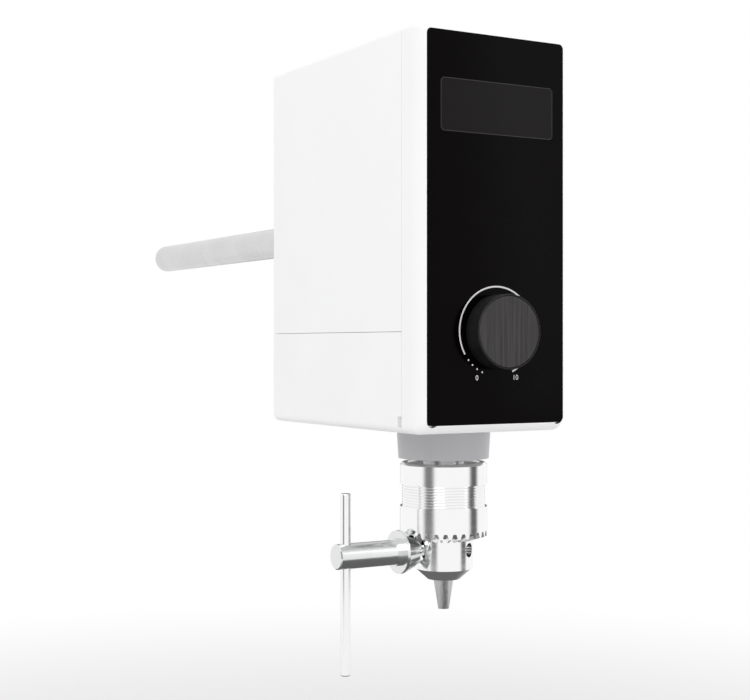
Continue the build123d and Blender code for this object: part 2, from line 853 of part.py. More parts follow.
with BuildPart() as socket_screws:
    screws(socket_screw_planes, screw_head_radius, screw_head_height, screw_radius,
           socket_flange_thickness + upright_thickness - 0.5)
save(socket_screws, "socket_screws")

washer_front = upright_front - socket_flange_thickness - washer_thickness
with BuildPart() as rod_washer:
    turned(Plane.XY, rod_axis, [
        (spigot_radius + 0.3, washer_front),
        (washer_radius, washer_front),
        (washer_radius, washer_front + washer_thickness),
        (spigot_radius + 0.3, washer_front + washer_thickness),
    ])
save(rod_washer, "rod_washer")

with BuildPart() as rod_nut:
    with BuildSketch(facing(washer_front)):
        RegularPolygon(nut_across_corners / 2, 6)
        Circle(spigot_radius + fit_clearance, mode=Mode.SUBTRACT)
    extrude(amount=nut_thickness)
save(rod_nut, "rod_nut")

with BuildPart() as support_rod:
    with BuildSketch(Plane.XY):
        with BuildLine():
            Polyline(
                (0, washer_front - nut_thickness - spigot_tail),
                (spigot_radius - 1, washer_front - nut_thickness - spigot_tail),
                (spigot_radius, washer_front - nut_thickness - spigot_tail + 1),
                (spigot_radius, 0),
                (rod_radius, 0),
                (rod_radius, rod_length),
                (0, rod_length),
                close=True,
            )
        make_face()
    revolve(axis=rod_axis)
    fillet(support_rod.edges().filter_by(GeomType.CIRCLE).sort_by(Axis.Y)[-1], rod_end_radius)
save(support_rod, "support_rod")
print("frame")

# Collar under the housing, with the lower bearing and its seal
pocket_floor = collar_bottom + collar_lip
with BuildPart() as bearing_collar:
    turned(spindle_section, spindle_axis, [
        (spindle_collar_radius + 0.6, collar_bottom),
        (collar_bottom_radius, collar_bottom),
        (collar_top_radius, base_z),
        (collar_top_radius, flange_bottom),
        (collar_flange_radius, flange_bottom),
        (collar_flange_radius, flange_bottom + collar_flange_thickness),
        (bearing_radius + fit_clearance, flange_bottom + collar_flange_thickness),
        (bearing_radius + fit_clearance, pocket_floor),
        (seal_radius + fit_clearance, pocket_floor),
        (seal_radius + fit_clearance, collar_bottom + 1),
        (spindle_collar_radius + 0.6, collar_bottom + 1),
    ])
    for plane in collar_screw_planes:
        with Locations(plane):
            Hole(screw_radius + screw_clearance, depth=collar_flange_thickness + 1)
    block((-half_width, half_width), (front_y, part_y + tongue_depth + 0.5),
          (flange_bottom - 1, flange_bottom + collar_flange_thickness + 1), mode=Mode.SUBTRACT)
save(bearing_collar, "bearing_collar")

with BuildPart() as collar_screws:
    screws(collar_screw_planes, screw_head_radius, screw_head_height, screw_radius,
           collar_flange_thickness + collar_ring_height + 1)
save(collar_screws, "collar_screws")

with BuildPart() as shaft_seal:
    turned(spindle_section, spindle_axis, [
        (spindle_collar_radius + running_clearance, collar_bottom + 1.2),
        (seal_radius, collar_bottom + 1.2),
        (seal_radius, collar_bottom + 1.2 + seal_thickness),
        (spindle_collar_radius + 0.8, collar_bottom + 1.2 + seal_thickness),
    ])
save(shaft_seal, "shaft_seal")

middle_radius = (spindle_radius + bearing_radius) / 2
inner_ring_radius = spindle_radius + bearing_ring
outer_ring_radius = bearing_radius - bearing_ring
ball_radius = (outer_ring_radius - inner_ring_radius) / 2 + bearing_groove


def ring(bottom, inside, outside, groove_side):
    """Bearing ring with a ball groove on its inside (-1) or outside (1)."""
    turned(spindle_section, spindle_axis, [
        (inside, bottom), (outside, bottom),
        (outside, bottom + bearing_width), (inside, bottom + bearing_width),
    ])
    with BuildSketch(spindle_section) as groove:
        with Locations((middle_radius, bottom + bearing_width / 2)):
            Circle(ball_radius + running_clearance)
    revolve(groove.sketch, axis=spindle_axis, mode=Mode.SUBTRACT)


lower_bearing_bottom = pocket_floor + 0.1
upper_bearing_bottom = bearing_boss_bottom + 0.3
with BuildPart() as lower_bearing_outer:
    ring(lower_bearing_bottom, outer_ring_radius, bearing_radius, -1)
save(lower_bearing_outer, "lower_bearing_outer")
with BuildPart() as upper_bearing_outer:
    ring(upper_bearing_bottom, outer_ring_radius, bearing_radius, -1)
save(upper_bearing_outer, "upper_bearing_outer")
with BuildPart() as lower_bearing_inner:
    ring(lower_bearing_bottom, spindle_radius + 0.01, inner_ring_radius, 1)
save(lower_bearing_inner, "lower_bearing_inner")
with BuildPart() as upper_bearing_inner:
    ring(upper_bearing_bottom, spindle_radius + 0.01, inner_ring_radius, 1)
save(upper_bearing_inner, "upper_bearing_inner")
with BuildPart() as bearing_balls:
    for bottom in (lower_bearing_bottom, upper_bearing_bottom):
        with Locations((0, spindle_y, bottom + bearing_width / 2)):
            with PolarLocations(middle_radius, 8):
                Sphere(ball_radius)
save(bearing_balls, "bearing_balls")
print("bearings")

# Spindle
spindle_top = plate_top - spindle_top_stand
body_top = chuck_top - body_top_drop
with BuildPart() as spindle:
    turned(spindle_section, spindle_axis, [
        (0, spindle_top),
        (spindle_radius - 0.5, spindle_top),
        (spindle_radius, spindle_top - 0.5),
        (spindle_radius, lower_bearing_bottom),
        (spindle_collar_radius, lower_bearing_bottom),
        (spindle_collar_radius, collar_bottom - 0.3),
        (spindle_flange_radius, collar_bottom - 0.3),
        (spindle_flange_radius, body_top),
        (chuck_thread_radius, body_top),
        (chuck_thread_radius, body_top - chuck_thread_length + 1),
        (chuck_thread_radius - 1, body_top - chuck_thread_length),
        (0, body_top - chuck_thread_length),
    ])
save(spindle, "spindle")

hub_bottom = gear_bottom - hub_bottom_extra
hub_top = upper_bearing_bottom - 0.1


def polar(radius, angle):
    return (radius * cos(angle), radius * sin(angle))


def gear_outline(teeth, first_angle):
    """Outline of a spur gear whose first tooth points at first_angle, in degrees."""
    pitch_radius = gear_module * teeth / 2
    base_radius = pitch_radius * cos(radians(pressure_angle))
    flank_radii = (pitch_radius - 1.25 * gear_module, pitch_radius, pitch_radius + gear_module)
    pitch_roll = tan(radians(pressure_angle)) - radians(pressure_angle)
    half_tooth = pi / (2 * teeth) - gear_backlash / (2 * pitch_radius)
    points = []
    for tooth in range(teeth):
        middle = radians(first_angle + 360 * tooth / teeth)
        flank = []
        for radius in flank_radii:
            slope = acos(min(1, base_radius / radius))
            flank.append((radius, half_tooth + pitch_roll - tan(slope) + slope))
        points += [polar(radius, middle - half) for radius, half in flank]
        points += [polar(radius, middle + half) for radius, half in reversed(flank)]
    return points


def spur_teeth(plane, teeth, first_angle, height):
    """Toothed disc standing on a plane."""
    with BuildSketch(plane) as section:
        with BuildLine():
            Polyline(*gear_outline(teeth, first_angle), close=True)
        make_face()
    extrude(section.sketch, amount=height)


gear_radius = gear_module * gear_teeth / 2
gear_rim_radius = gear_radius - 1.25 * gear_module - gear_rim
with BuildPart() as driven_gear:
    spur_teeth(upward(0, spindle_y, gear_bottom), gear_teeth, 90, gear_face)
    for bottom, top in ((gear_bottom - 1, gear_bottom + (gear_face - gear_web) / 2),
                        (gear_top - (gear_face - gear_web) / 2, gear_top + 1)):
        turned(spindle_section, spindle_axis, [
            (hub_radius, bottom), (gear_rim_radius, bottom), (gear_rim_radius, top), (hub_radius, top),
        ], mode=Mode.SUBTRACT)
    turned(spindle_section, spindle_axis, [
        (0, hub_bottom), (hub_radius, hub_bottom), (hub_radius, gear_top),
        (inner_ring_radius, gear_top), (inner_ring_radius, hub_top), (0, hub_top),
    ])
    with Locations(upward(0, spindle_y, hub_top)):
        Hole(spindle_radius + 0.01, depth=hub_top - hub_bottom + 1)
    with Locations(Plane.XY.offset(gear_top)):
        with Locations((0, spindle_y)):
            with PolarLocations((hub_radius + gear_rim_radius) / 2, 6, start_angle=30):
                Hole(3.5, depth=gear_face + 1)
save(driven_gear, "driven_gear")

with BuildPart() as spacer_tube:
    turned(spindle_section, spindle_axis, [
        (spindle_radius + 0.01, lower_bearing_bottom + bearing_width + 0.05),
        (spindle_radius + spacer_wall, lower_bearing_bottom + bearing_width + 0.05),
        (spindle_radius + spacer_wall, hub_bottom - 0.05),
        (spindle_radius + 0.01, hub_bottom - 0.05),
    ])
save(spacer_tube, "spacer_tube")

circlip_z = upper_bearing_bottom + bearing_width + 0.1
with BuildPart() as circlip:
    with BuildSketch(Plane.XY.offset(circlip_z)):
        with Locations((0, spindle_y)):
            Circle(spindle_radius + 1.6)
            Circle(spindle_radius + 0.02, mode=Mode.SUBTRACT)
            with Locations((0, -spindle_radius)):
                Rectangle(3, 6, mode=Mode.SUBTRACT)
    extrude(amount=circlip_thickness)
save(circlip, "circlip")
print("gears")

# Motor
motor_top = plate_top + motor_height
rotor_middle = plate_top + motor_height / 2
with BuildPart() as motor_case:
    turned(motor_section, motor_axis, [
        (motor_shaft_radius + 1, plate_top),
        (motor_shaft_radius + 1, plate_top - motor_pilot_height),
        (motor_pilot_radius, plate_top - motor_pilot_height),
        (motor_pilot_radius, plate_top),
        (motor_radius - 1, plate_top),
        (motor_radius, plate_top + 1),
        (motor_radius, motor_top - 1),
        (motor_radius - 1, motor_top),
        (0, motor_top),
        (0, motor_top - 1.5),
        (motor_bearing_radius + fit_clearance, motor_top - 1.5),
        (motor_bearing_radius + fit_clearance, motor_top - motor_end_thickness),
        (motor_radius - motor_shell, motor_top - motor_end_thickness),
        (motor_radius - motor_shell, plate_top + motor_end_thickness),
        (motor_bearing_radius + fit_clearance, plate_top + motor_end_thickness),
        (motor_bearing_radius + fit_clearance, plate_top + 0.5),
        (motor_shaft_radius + 1, plate_top + 0.5),
    ])
    for plane in motor_screw_planes:
        with Locations(plane):
            Hole(screw_radius + fit_clearance, depth=plate_thickness + 4)
save(motor_case, "motor_case")

with BuildPart() as motor_screws:
    screws(motor_screw_planes, screw_head_radius, screw_head_height, screw_radius, plate_thickness + 3.5)
save(motor_screws, "motor_screws")

with BuildPart() as motor_bearings:
    for bottom in (plate_top + 0.6, motor_top - motor_end_thickness):
        turned(motor_section, motor_axis, [
            (motor_shaft_radius + running_clearance, bottom),
            (motor_bearing_radius, bottom),
            (motor_bearing_radius, bottom + 3.4),
            (motor_shaft_radius + running_clearance, bottom + 3.4),
        ])
save(motor_bearings, "motor_bearings")

with BuildPart() as motor_stator:
    with BuildSketch(Plane.XY.offset(rotor_middle - stator_height / 2)):
        with Locations((0, motor_y)):
            Circle(motor_radius - motor_shell - fit_clearance)
            Circle(stator_bore, mode=Mode.SUBTRACT)
            with PolarLocations(stator_bore + stator_slot_depth / 2 + 1.2, stator_slots):
                Rectangle(stator_slot_depth, stator_slot_width, mode=Mode.SUBTRACT)
    extrude(amount=stator_height)
save(motor_stator, "motor_stator")

with BuildPart() as stator_windings:
    with BuildSketch(Plane.XY.offset(rotor_middle - stator_height / 2 - 3)):
        with Locations((0, motor_y)):
            with PolarLocations(stator_bore + stator_slot_depth / 2 + 1.2, stator_slots):
                Rectangle(stator_slot_depth - 0.4, stator_slot_width - 0.4)
    extrude(amount=stator_height + 6)
save(stator_windings, "stator_windings")

with BuildPart() as motor_rotor:
    turned(motor_section, motor_axis, [
        (motor_shaft_radius + 0.01, rotor_middle - stator_height / 2),
        (stator_bore - rotor_gap, rotor_middle - stator_height / 2),
        (stator_bore - rotor_gap, rotor_middle + stator_height / 2),
        (motor_shaft_radius + 0.01, rotor_middle + stator_height / 2),
    ])
save(motor_rotor, "motor_rotor")

pinion_top = gear_top + pinion_extra
pinion_bottom = gear_bottom - pinion_extra
with BuildPart() as motor_shaft:
    with BuildSketch(Plane.XY.offset(pinion_bottom - 0.5)):
        with Locations((0, motor_y)):
            Circle(motor_shaft_radius)
    extrude(amount=motor_top - 1.6 - pinion_bottom + 0.5)
    chamfer(motor_shaft.edges().group_by(Axis.Z)[0], 0.4)
save(motor_shaft, "motor_shaft")

with BuildPart() as motor_pinion:
    spur_teeth(upward(0, motor_y, pinion_bottom), pinion_teeth, 270 + 180 / pinion_teeth,
               pinion_top - pinion_bottom)
    with Locations(upward(0, motor_y, pinion_top)):
        Hole(motor_shaft_radius + 0.01, depth=pinion_top - pinion_bottom + 1)
save(motor_pinion, "motor_pinion")
print("motor")

# Control board on standoffs inside the left wall
board_face = control_board_x + board_thickness
with BuildPart() as control_board:
    block((control_board_x, board_face), control_board_y, control_board_z)
    for y, z in control_screw_spots:
        with Locations(Plane(origin=(board_face, y, z), x_dir=(0, 1, 0), z_dir=(1, 0, 0))):
            Hole(1.2, depth=board_thickness + 1)
save(control_board, "control_board")

with BuildPart() as board_screws:
    screws([Plane(origin=(board_face, y, z), x_dir=(0, 1, 0), z_dir=(1, 0, 0))
            for y, z in control_screw_spots], 2.0, 1.4, 1.05, 6.0)
save(board_screws, "board_screws")

board_middle_y = sum(control_board_y) / 2
board_middle_z = sum(control_board_z) / 2
component_plane = Plane(origin=(board_face, board_middle_y, board_middle_z), x_dir=(0, 1, 0), z_dir=(1, 0, 0))
with BuildPart() as heat_sink:
    with BuildSketch(Plane(origin=(board_face, board_middle_y - sink_length, board_middle_z),
                           x_dir=(1, 0, 0), z_dir=(0, -1, 0))):
        with Locations((sink_base / 2, 0)):
            Rectangle(sink_base, sink_width)
        with Locations((sink_height / 2, 0)):
            with GridLocations(1, (sink_width - sink_fin_thickness) / (sink_fins - 1), 1, sink_fins):
                Rectangle(sink_height, sink_fin_thickness)
    extrude(amount=-sink_length)
save(heat_sink, "heat_sink")

with BuildPart() as capacitors:
    with Locations(component_plane):
        with Locations((16, -12, 0), (16, 6, 0)):
            Cylinder(capacitor_radius, capacitor_length, align=low)
    chamfer(capacitors.edges().group_by(Axis.X)[-1], 0.8)
save(capacitors, "capacitors")

with BuildPart() as board_connectors:
    with BuildSketch(component_plane):
        with Locations((33, -8), (33, 8)):
            Rectangle(6, 12)
    extrude(amount=9)
save(board_connectors, "board_connectors")

# Power jack and switch in the back wall
jack_section = Plane(origin=(jack_x, rear_y, rear_row_above_rod), x_dir=(1, 0, 0), z_dir=(0, 0, 1))
jack_axis = Axis((jack_x, rear_y, rear_row_above_rod), (0, 1, 0))
with BuildPart() as power_jack:
    turned(jack_section, jack_axis, [
        (0, -jack_length),
        (jack_radius, -jack_length),
        (jack_radius, 0),
        (jack_flange_radius, 0),
        (jack_flange_radius, jack_flange_thickness - 0.4),
        (jack_flange_radius - 0.4, jack_flange_thickness),
        (jack_bore_radius, jack_flange_thickness),
        (jack_bore_radius, jack_flange_thickness - jack_bore_depth),
        (0, jack_flange_thickness - jack_bore_depth),
    ])
save(power_jack, "power_jack")

with BuildPart() as jack_pin:
    turned(jack_section, jack_axis, [
        (0, jack_flange_thickness - jack_bore_depth),
        (jack_pin_radius, jack_flange_thickness - jack_bore_depth),
        (jack_pin_radius, 0),
        (jack_pin_radius - 0.4, 0.4),
        (0, 0.4),
    ])
save(jack_pin, "jack_pin")

with BuildPart() as jack_nut:
    with BuildSketch(facing(inner_rear)):
        with Locations((jack_x, rear_row_above_rod)):
            RegularPolygon(jack_nut_radius, 6)
            Circle(jack_radius + fit_clearance, mode=Mode.SUBTRACT)
    extrude(amount=jack_nut_thickness)
save(jack_nut, "jack_nut")

opening_width = switch_width - 2 * switch_wall
opening_height = switch_height - 2 * switch_wall
pivot_y = rear_y - rocker_pivot_depth + switch_flange_thickness
with BuildPart() as switch_frame:
    with BuildSketch(facing(rear_y)):
        with Locations((switch_x, rear_row_above_rod)):
            RectangleRounded(switch_width + 2 * switch_flange, switch_height + 2 * switch_flange, 1)
    extrude(amount=-switch_flange_thickness)
    chamfer(switch_frame.edges().group_by(Axis.Y)[-1], 0.4)
    with BuildSketch(facing(rear_y)):
        with Locations((switch_x, rear_row_above_rod)):
            Rectangle(switch_width, switch_height)
    extrude(amount=switch_depth)
    with BuildSketch(facing(rear_y + switch_flange_thickness)):
        with Locations((switch_x, rear_row_above_rod)):
            Rectangle(opening_width, opening_height)
    extrude(amount=switch_depth, mode=Mode.SUBTRACT)
    with BuildSketch(Plane.YZ.offset(switch_x - switch_width / 2 - 1)):
        with Locations((pivot_y, rear_row_above_rod)):
            Circle(rocker_pin_radius + running_clearance)
    extrude(amount=switch_width / 2 + 1 + opening_width / 2 + switch_wall * 0.6, mode=Mode.SUBTRACT)
save(switch_frame, "switch_frame")

rocker_radius = opening_height / 2 - rocker_clearance
with BuildPart() as switch_rocker:
    rocker_plane = Plane(
        origin=(switch_x - opening_width / 2 + rocker_clearance, pivot_y, rear_row_above_rod),
        x_dir=Vector(0, cos(radians(rocker_tilt)), sin(radians(rocker_tilt))),
        z_dir=(1, 0, 0),
    )
    with BuildSketch(rocker_plane) as rocker_section:
        Circle(rocker_radius)
        with BuildLine():
            Polyline(
                (-2.4, -rocker_radius),
                (rocker_crest, -rocker_radius),
                (rocker_crest - rocker_dish, 0),
                (rocker_crest, rocker_radius),
                (-2.4, rocker_radius),
                close=True,
            )
        make_face(mode=Mode.INTERSECT)
    extrude(amount=opening_width - 2 * rocker_clearance)
    with Locations(Plane(origin=(switch_x, pivot_y, rear_row_above_rod), x_dir=(0, 1, 0), z_dir=(1, 0, 0))):
        Cylinder(rocker_pin_radius, opening_width + switch_wall)
save(switch_rocker, "switch_rocker")
print("electrics")

# Keyed chuck. The bevel teeth of the sleeve and of the key share one pitch cone
# apex, where the key's axis meets the spindle's.
key_cone = atan(key_teeth / sleeve_teeth)
bevel_module = 2 * sleeve_radius / sleeve_teeth
cone_distance = sleeve_radius / cos(key_cone)
addendum_angle = atan(bevel_addendum * bevel_module / cone_distance)
tooth_face_slope = tan(key_cone - addendum_angle)
key_face_slope = tan(key_cone + addendum_angle)


def bevel_gap(teeth, cone_angle, near, far):
    """One tooth gap tapering to the apex at the origin, for a gear whose axis is +Z."""
    along = Vector(sin(cone_angle), 0, cos(cone_angle))
    outward = Vector(cos(cone_angle), 0, -sin(cone_angle))
    flank_slope = tan(radians(pressure_angle) + pi / 2 * cos(cone_angle) / teeth)
    half_gap = pi * bevel_module / 4 + bevel_backlash / 4
    root = -bevel_dedendum * bevel_module
    beyond = 2.0 * bevel_module
    with BuildPart() as gap:
        for distance in (near, far):
            scale = distance / cone_distance
            with BuildSketch(Plane(origin=along * distance, x_dir=outward, z_dir=along)):
                with BuildLine():
                    Polyline(
                        (scale * root, -scale * (half_gap + root * flank_slope)),
                        (scale * beyond, -scale * (half_gap + beyond * flank_slope)),
                        (scale * beyond, scale * (half_gap + beyond * flank_slope)),
                        (scale * root, scale * (half_gap + root * flank_slope)),
                        close=True,
                    )
                make_face()
        loft(ruled=True)
    return gap.part


sleeve_gap = bevel_gap(sleeve_teeth, pi / 2 - key_cone, 0.4 * cone_distance, 1.2 * cone_distance)
key_gap = bevel_gap(key_teeth, key_cone, 0.3 * cone_distance, 1.5 * cone_distance)

sleeve_bore = sleeve_radius - sleeve_wall
nut_top = chuck_top - nut_from_top
nut_bottom = nut_top - nut_height
collar_bore = body_radius + seat_clearance


def sleeve_edge(radius):
    """Height of the sleeve's toothed lower edge at a radius."""
    return key_z + radius * tooth_face_slope


grip_pitch = (grip_bottom - grip_top) / grip_rings
grip_radius = sleeve_radius - grip_recess
grip_points = []
for turn in range(grip_rings):
    ring_top = chuck_top - grip_top - turn * grip_pitch
    grip_points += [
        (grip_radius, ring_top - grip_pitch * 0.25),
        (grip_radius - grip_ring_depth, ring_top - grip_pitch * 0.5),
        (grip_radius, ring_top - grip_pitch * 0.75),
    ]
with BuildPart() as chuck_sleeve:
    turned(spindle_section, spindle_axis, [
        (sleeve_bore, chuck_top),
        (sleeve_radius - sleeve_chamfer, chuck_top),
        (sleeve_radius, chuck_top - sleeve_chamfer),
        (sleeve_radius, chuck_top - grip_top),
        (grip_radius, chuck_top - grip_top),
        *grip_points,
        (grip_radius, chuck_top - grip_bottom),
        (sleeve_radius, chuck_top - grip_bottom),
        (sleeve_radius, sleeve_edge(sleeve_radius)),
        (collar_bore, sleeve_edge(collar_bore)),
        (collar_bore, nut_bottom),
        (sleeve_bore, nut_bottom),
    ])
    with Locations((0, spindle_y, key_z)):
        with PolarLocations(0, sleeve_teeth, start_angle=180):
            add(sleeve_gap, mode=Mode.SUBTRACT)
save(chuck_sleeve, "chuck_sleeve")
print("sleeve")

jaw_tilt = radians(jaw_angle)
jaw_travel = chuck_capacity / 2 / sin(jaw_tilt)
jaw_tip_z = nose_bottom - jaw_reach
jaw_tail_top = body_top - jaw_end_gap - jaw_radius * sin(jaw_tilt)
jaw_length = (jaw_tail_top - jaw_tip_z) / cos(jaw_tilt) - jaw_travel
jaw_angles = (0, 120, 240)


def jaw_line(azimuth):
    """Direction in which a jaw opens."""
    turn = radians(azimuth)
    return Vector(sin(jaw_tilt) * cos(turn), sin(jaw_tilt) * sin(turn), cos(jaw_tilt))


def jaw_plane(azimuth, distance):
    """Plane across a jaw, at a distance from its tip."""
    turn = radians(azimuth)
    tip = Vector(jaw_tip_offset * cos(turn), spindle_y + jaw_tip_offset * sin(turn), jaw_tip_z)
    return Plane(origin=tip + jaw_line(azimuth) * distance, z_dir=jaw_line(azimuth))


with BuildPart() as chuck_body:
    turned(spindle_section, spindle_axis, [
        (0, body_top),
        (sleeve_bore - seat_clearance, body_top),
        (sleeve_bore - seat_clearance, nut_top + nut_gap),
        (core_radius, nut_top + nut_gap),
        (core_radius, nut_bottom - nut_gap),
        (body_radius, nut_bottom - nut_gap),
        (body_radius, nose_bottom + nose_height),
        (nose_radius, nose_bottom),
        (0, nose_bottom),
    ])
    with Locations(upward(0, spindle_y, body_top)):
        Hole(chuck_thread_radius + 0.02, depth=chuck_thread_length + 0.5)
    with Locations(downward(0, spindle_y, nose_bottom)):
        Hole(chuck_capacity / 2 + chuck_bore_clearance, depth=chuck_bore_depth)
    for azimuth in jaw_angles:
        with BuildSketch(jaw_plane(azimuth, 0)) as bore:
            Circle(jaw_radius + running_clearance)
        extrude(bore.sketch, amount=jaw_length + jaw_travel + 0.2, mode=Mode.SUBTRACT)
        side = azimuth + 180
        with BuildSketch(Plane(
            origin=(body_radius * 1.2 * cos(radians(side)),
                    spindle_y + body_radius * 1.2 * sin(radians(side)), key_z),
            z_dir=(cos(radians(side)), sin(radians(side)), 0),
        )) as hole:
            Circle(key_hole_radius)
        extrude(hole.sketch, amount=key_hole_bottom - body_radius * 1.2, mode=Mode.SUBTRACT)
save(chuck_body, "chuck_body")

nut_slope = tan(jaw_tilt)
nut_clearance = 0.1


def nut_bore(z):
    """Inside radius of the nut, which is a cone that clears the jaws' backs."""
    return jaw_tip_offset + nut_slope * (z - jaw_tip_z) + jaw_radius / cos(jaw_tilt) + nut_clearance


with BuildPart() as chuck_nut:
    turned(spindle_section, spindle_axis, [
        (nut_bore(nut_bottom), nut_bottom),
        (sleeve_bore - 0.02, nut_bottom),
        (sleeve_bore - 0.02, nut_top),
        (nut_bore(nut_top), nut_top),
    ])
    block((-sleeve_radius, sleeve_radius), (spindle_y - 0.1, spindle_y + 0.1),
          (nut_bottom - 1, nut_top + 1), mode=Mode.SUBTRACT)
save(chuck_nut, "chuck_nut")

wedge_reach = 3 * jaw_radius
wedge_apex = jaw_meeting_gap / 2 / sin(radians(60))
jaws = {}
for number, azimuth in enumerate(jaw_angles, 1):
    with BuildPart() as jaw:
        with BuildSketch(jaw_plane(azimuth, -jaw_radius)):
            Circle(jaw_radius)
        extrude(amount=jaw_length + jaw_radius)
        chamfer(jaw.edges().group_by(Axis.Z)[-1], 0.5)
        turn = radians(azimuth)
        with BuildSketch(Plane(origin=(0, spindle_y, jaw_tip_z), x_dir=(cos(turn), sin(turn), 0),
                               z_dir=(0, 0, 1))):
            with BuildLine():
                Polyline(
                    (wedge_apex, 0),
                    (wedge_apex + wedge_reach, -wedge_reach * tan(radians(60))),
                    (wedge_apex + 2 * wedge_reach, 0),
                    (wedge_apex + wedge_reach, wedge_reach * tan(radians(60))),
                    close=True,
                )
            make_face()
        extrude(amount=2 * jaw_length, mode=Mode.INTERSECT)
    save(jaw, f"jaw_{number}")
print("jaws")

with BuildPart() as chuck_key:
    turned(key_section, key_axis, [
        (key_pinion_start, 0),
        (key_pinion_start, key_pinion_start * key_face_slope),
        (key_flange_at, key_flange_at * key_face_slope),
        (key_flange_at, 0),
    ])
    with Locations(Plane(origin=(0, spindle_y, key_z), x_dir=(0, 0, 1), z_dir=(-1, 0, 0))):
        with PolarLocations(0, key_teeth, start_angle=180 / key_teeth):
            add(key_gap, mode=Mode.SUBTRACT)
    turned(key_section, key_axis, [
        (key_pilot_end, 0),
        (key_pilot_end, key_hole_radius - 1),
        (key_pilot_end + 0.9, key_hole_radius - 0.08),
        (key_pinion_start + 1, key_hole_radius - 0.08),
        (key_pinion_start + 1, 0),
    ])
    turned(key_section, key_axis, [
        (key_flange_at, 0),
        (key_flange_at, key_flange_radius),
        (key_flange_at + key_flange_thickness, key_flange_radius),
        (key_flange_at + key_flange_thickness, key_ring_radius),
        (key_flange_at + key_flange_thickness + key_ring_length, key_ring_radius),
        (key_flange_at + key_flange_thickness + key_ring_length, key_shaft_radius),
        (key_end - 0.5, key_shaft_radius),
        (key_end, key_shaft_radius - 0.5),
        (key_end, 0),
    ])
    with Locations(upward(-key_bar_at, spindle_y, key_z + key_shaft_radius)):
        Hole(key_bar_radius + running_clearance, depth=2 * key_shaft_radius + 1)
save(chuck_key, "chuck_key")

with BuildPart() as key_bar:
    with BuildSketch(Plane.XY.offset(key_z + key_bar_above)):
        with Locations((-key_bar_at, spindle_y)):
            Circle(key_bar_radius)
    extrude(amount=-key_bar_length)
    chamfer(key_bar.edges().filter_by(GeomType.CIRCLE), 0.5)
save(key_bar, "key_bar")
print("key", jaw_travel, jaw_length, jaw_tip_z, body_top)
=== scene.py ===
import math

import bpy
from mathutils import Matrix, Vector


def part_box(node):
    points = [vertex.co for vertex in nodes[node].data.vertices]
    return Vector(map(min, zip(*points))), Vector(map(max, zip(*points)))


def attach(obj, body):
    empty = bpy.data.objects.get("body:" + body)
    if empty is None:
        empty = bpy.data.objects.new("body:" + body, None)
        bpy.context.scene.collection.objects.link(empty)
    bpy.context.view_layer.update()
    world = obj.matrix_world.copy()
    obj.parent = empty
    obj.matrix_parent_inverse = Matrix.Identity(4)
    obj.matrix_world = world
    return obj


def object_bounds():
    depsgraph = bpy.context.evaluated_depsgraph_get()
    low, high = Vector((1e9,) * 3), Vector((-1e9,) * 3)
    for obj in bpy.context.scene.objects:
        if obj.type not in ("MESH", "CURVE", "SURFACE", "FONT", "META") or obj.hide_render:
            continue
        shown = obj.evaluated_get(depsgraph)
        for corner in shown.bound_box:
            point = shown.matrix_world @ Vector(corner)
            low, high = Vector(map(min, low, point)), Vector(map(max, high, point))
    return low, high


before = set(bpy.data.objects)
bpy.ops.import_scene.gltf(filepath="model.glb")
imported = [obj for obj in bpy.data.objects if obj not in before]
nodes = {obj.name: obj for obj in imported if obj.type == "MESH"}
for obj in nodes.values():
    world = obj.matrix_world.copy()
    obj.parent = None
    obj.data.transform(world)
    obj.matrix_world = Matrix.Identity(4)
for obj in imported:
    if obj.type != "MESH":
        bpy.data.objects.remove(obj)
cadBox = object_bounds()
print("frame loaded,", len(nodes), "nodes")

mm = 0.001
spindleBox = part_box("spindle")
spindleMiddle = (spindleBox[0] + spindleBox[1]) / 2
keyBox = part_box("chuck_key")
keyMiddle = (keyBox[0] + keyBox[1]) / 2
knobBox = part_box("knob_body")
knobMiddle = (knobBox[0] + knobBox[1]) / 2
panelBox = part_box("front_panel")
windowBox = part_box("display_window")
panelFace = panelBox[0].y


# Camera
cameraLook = {
    "place": (-0.3806, -0.7112, -0.0623),
    "turnRight": 30.0,  # degrees from straight ahead
    "focalPixels": 1419.0,
    "horizonRow": 345.7,
    "pictureSize": (750, 700),
    "sensorWidth": 36.0,
}


def makeCamera(look):
    width, height = look["pictureSize"]
    data = bpy.data.cameras.new("viewCamera")
    data.sensor_width = look["sensorWidth"]
    data.lens = look["focalPixels"] / width * data.sensor_width
    data.shift_y = (look["horizonRow"] - height / 2) / width
    camera = bpy.data.objects.new("viewCamera", data)
    camera.location = look["place"]
    camera.rotation_euler = (math.radians(90), 0, -math.radians(look["turnRight"]))
    bpy.context.scene.collection.objects.link(camera)
    bpy.context.scene.camera = camera
    return camera


makeCamera(cameraLook)
print("camera set")


# Node helpers
def newMaterial(name):
    material = bpy.data.materials.new(name)
    material.use_nodes = True
    tree = material.node_tree
    tree.nodes.clear()
    output = tree.nodes.new("ShaderNodeOutputMaterial")
    shader = tree.nodes.new("ShaderNodeBsdfPrincipled")
    tree.links.new(shader.outputs["BSDF"], output.inputs["Surface"])
    return material, tree, shader


def addNode(tree, kind, values=None, **settings):
    node = tree.nodes.new(kind)
    for key, value in settings.items():
        setattr(node, key, value)
    for key, value in (values or {}).items():
        if isinstance(value, bpy.types.NodeSocket):
            tree.links.new(value, node.inputs[key])
        else:
            node.inputs[key].default_value = value
    return node


def rgba(colour):
    return (*colour, 1.0)


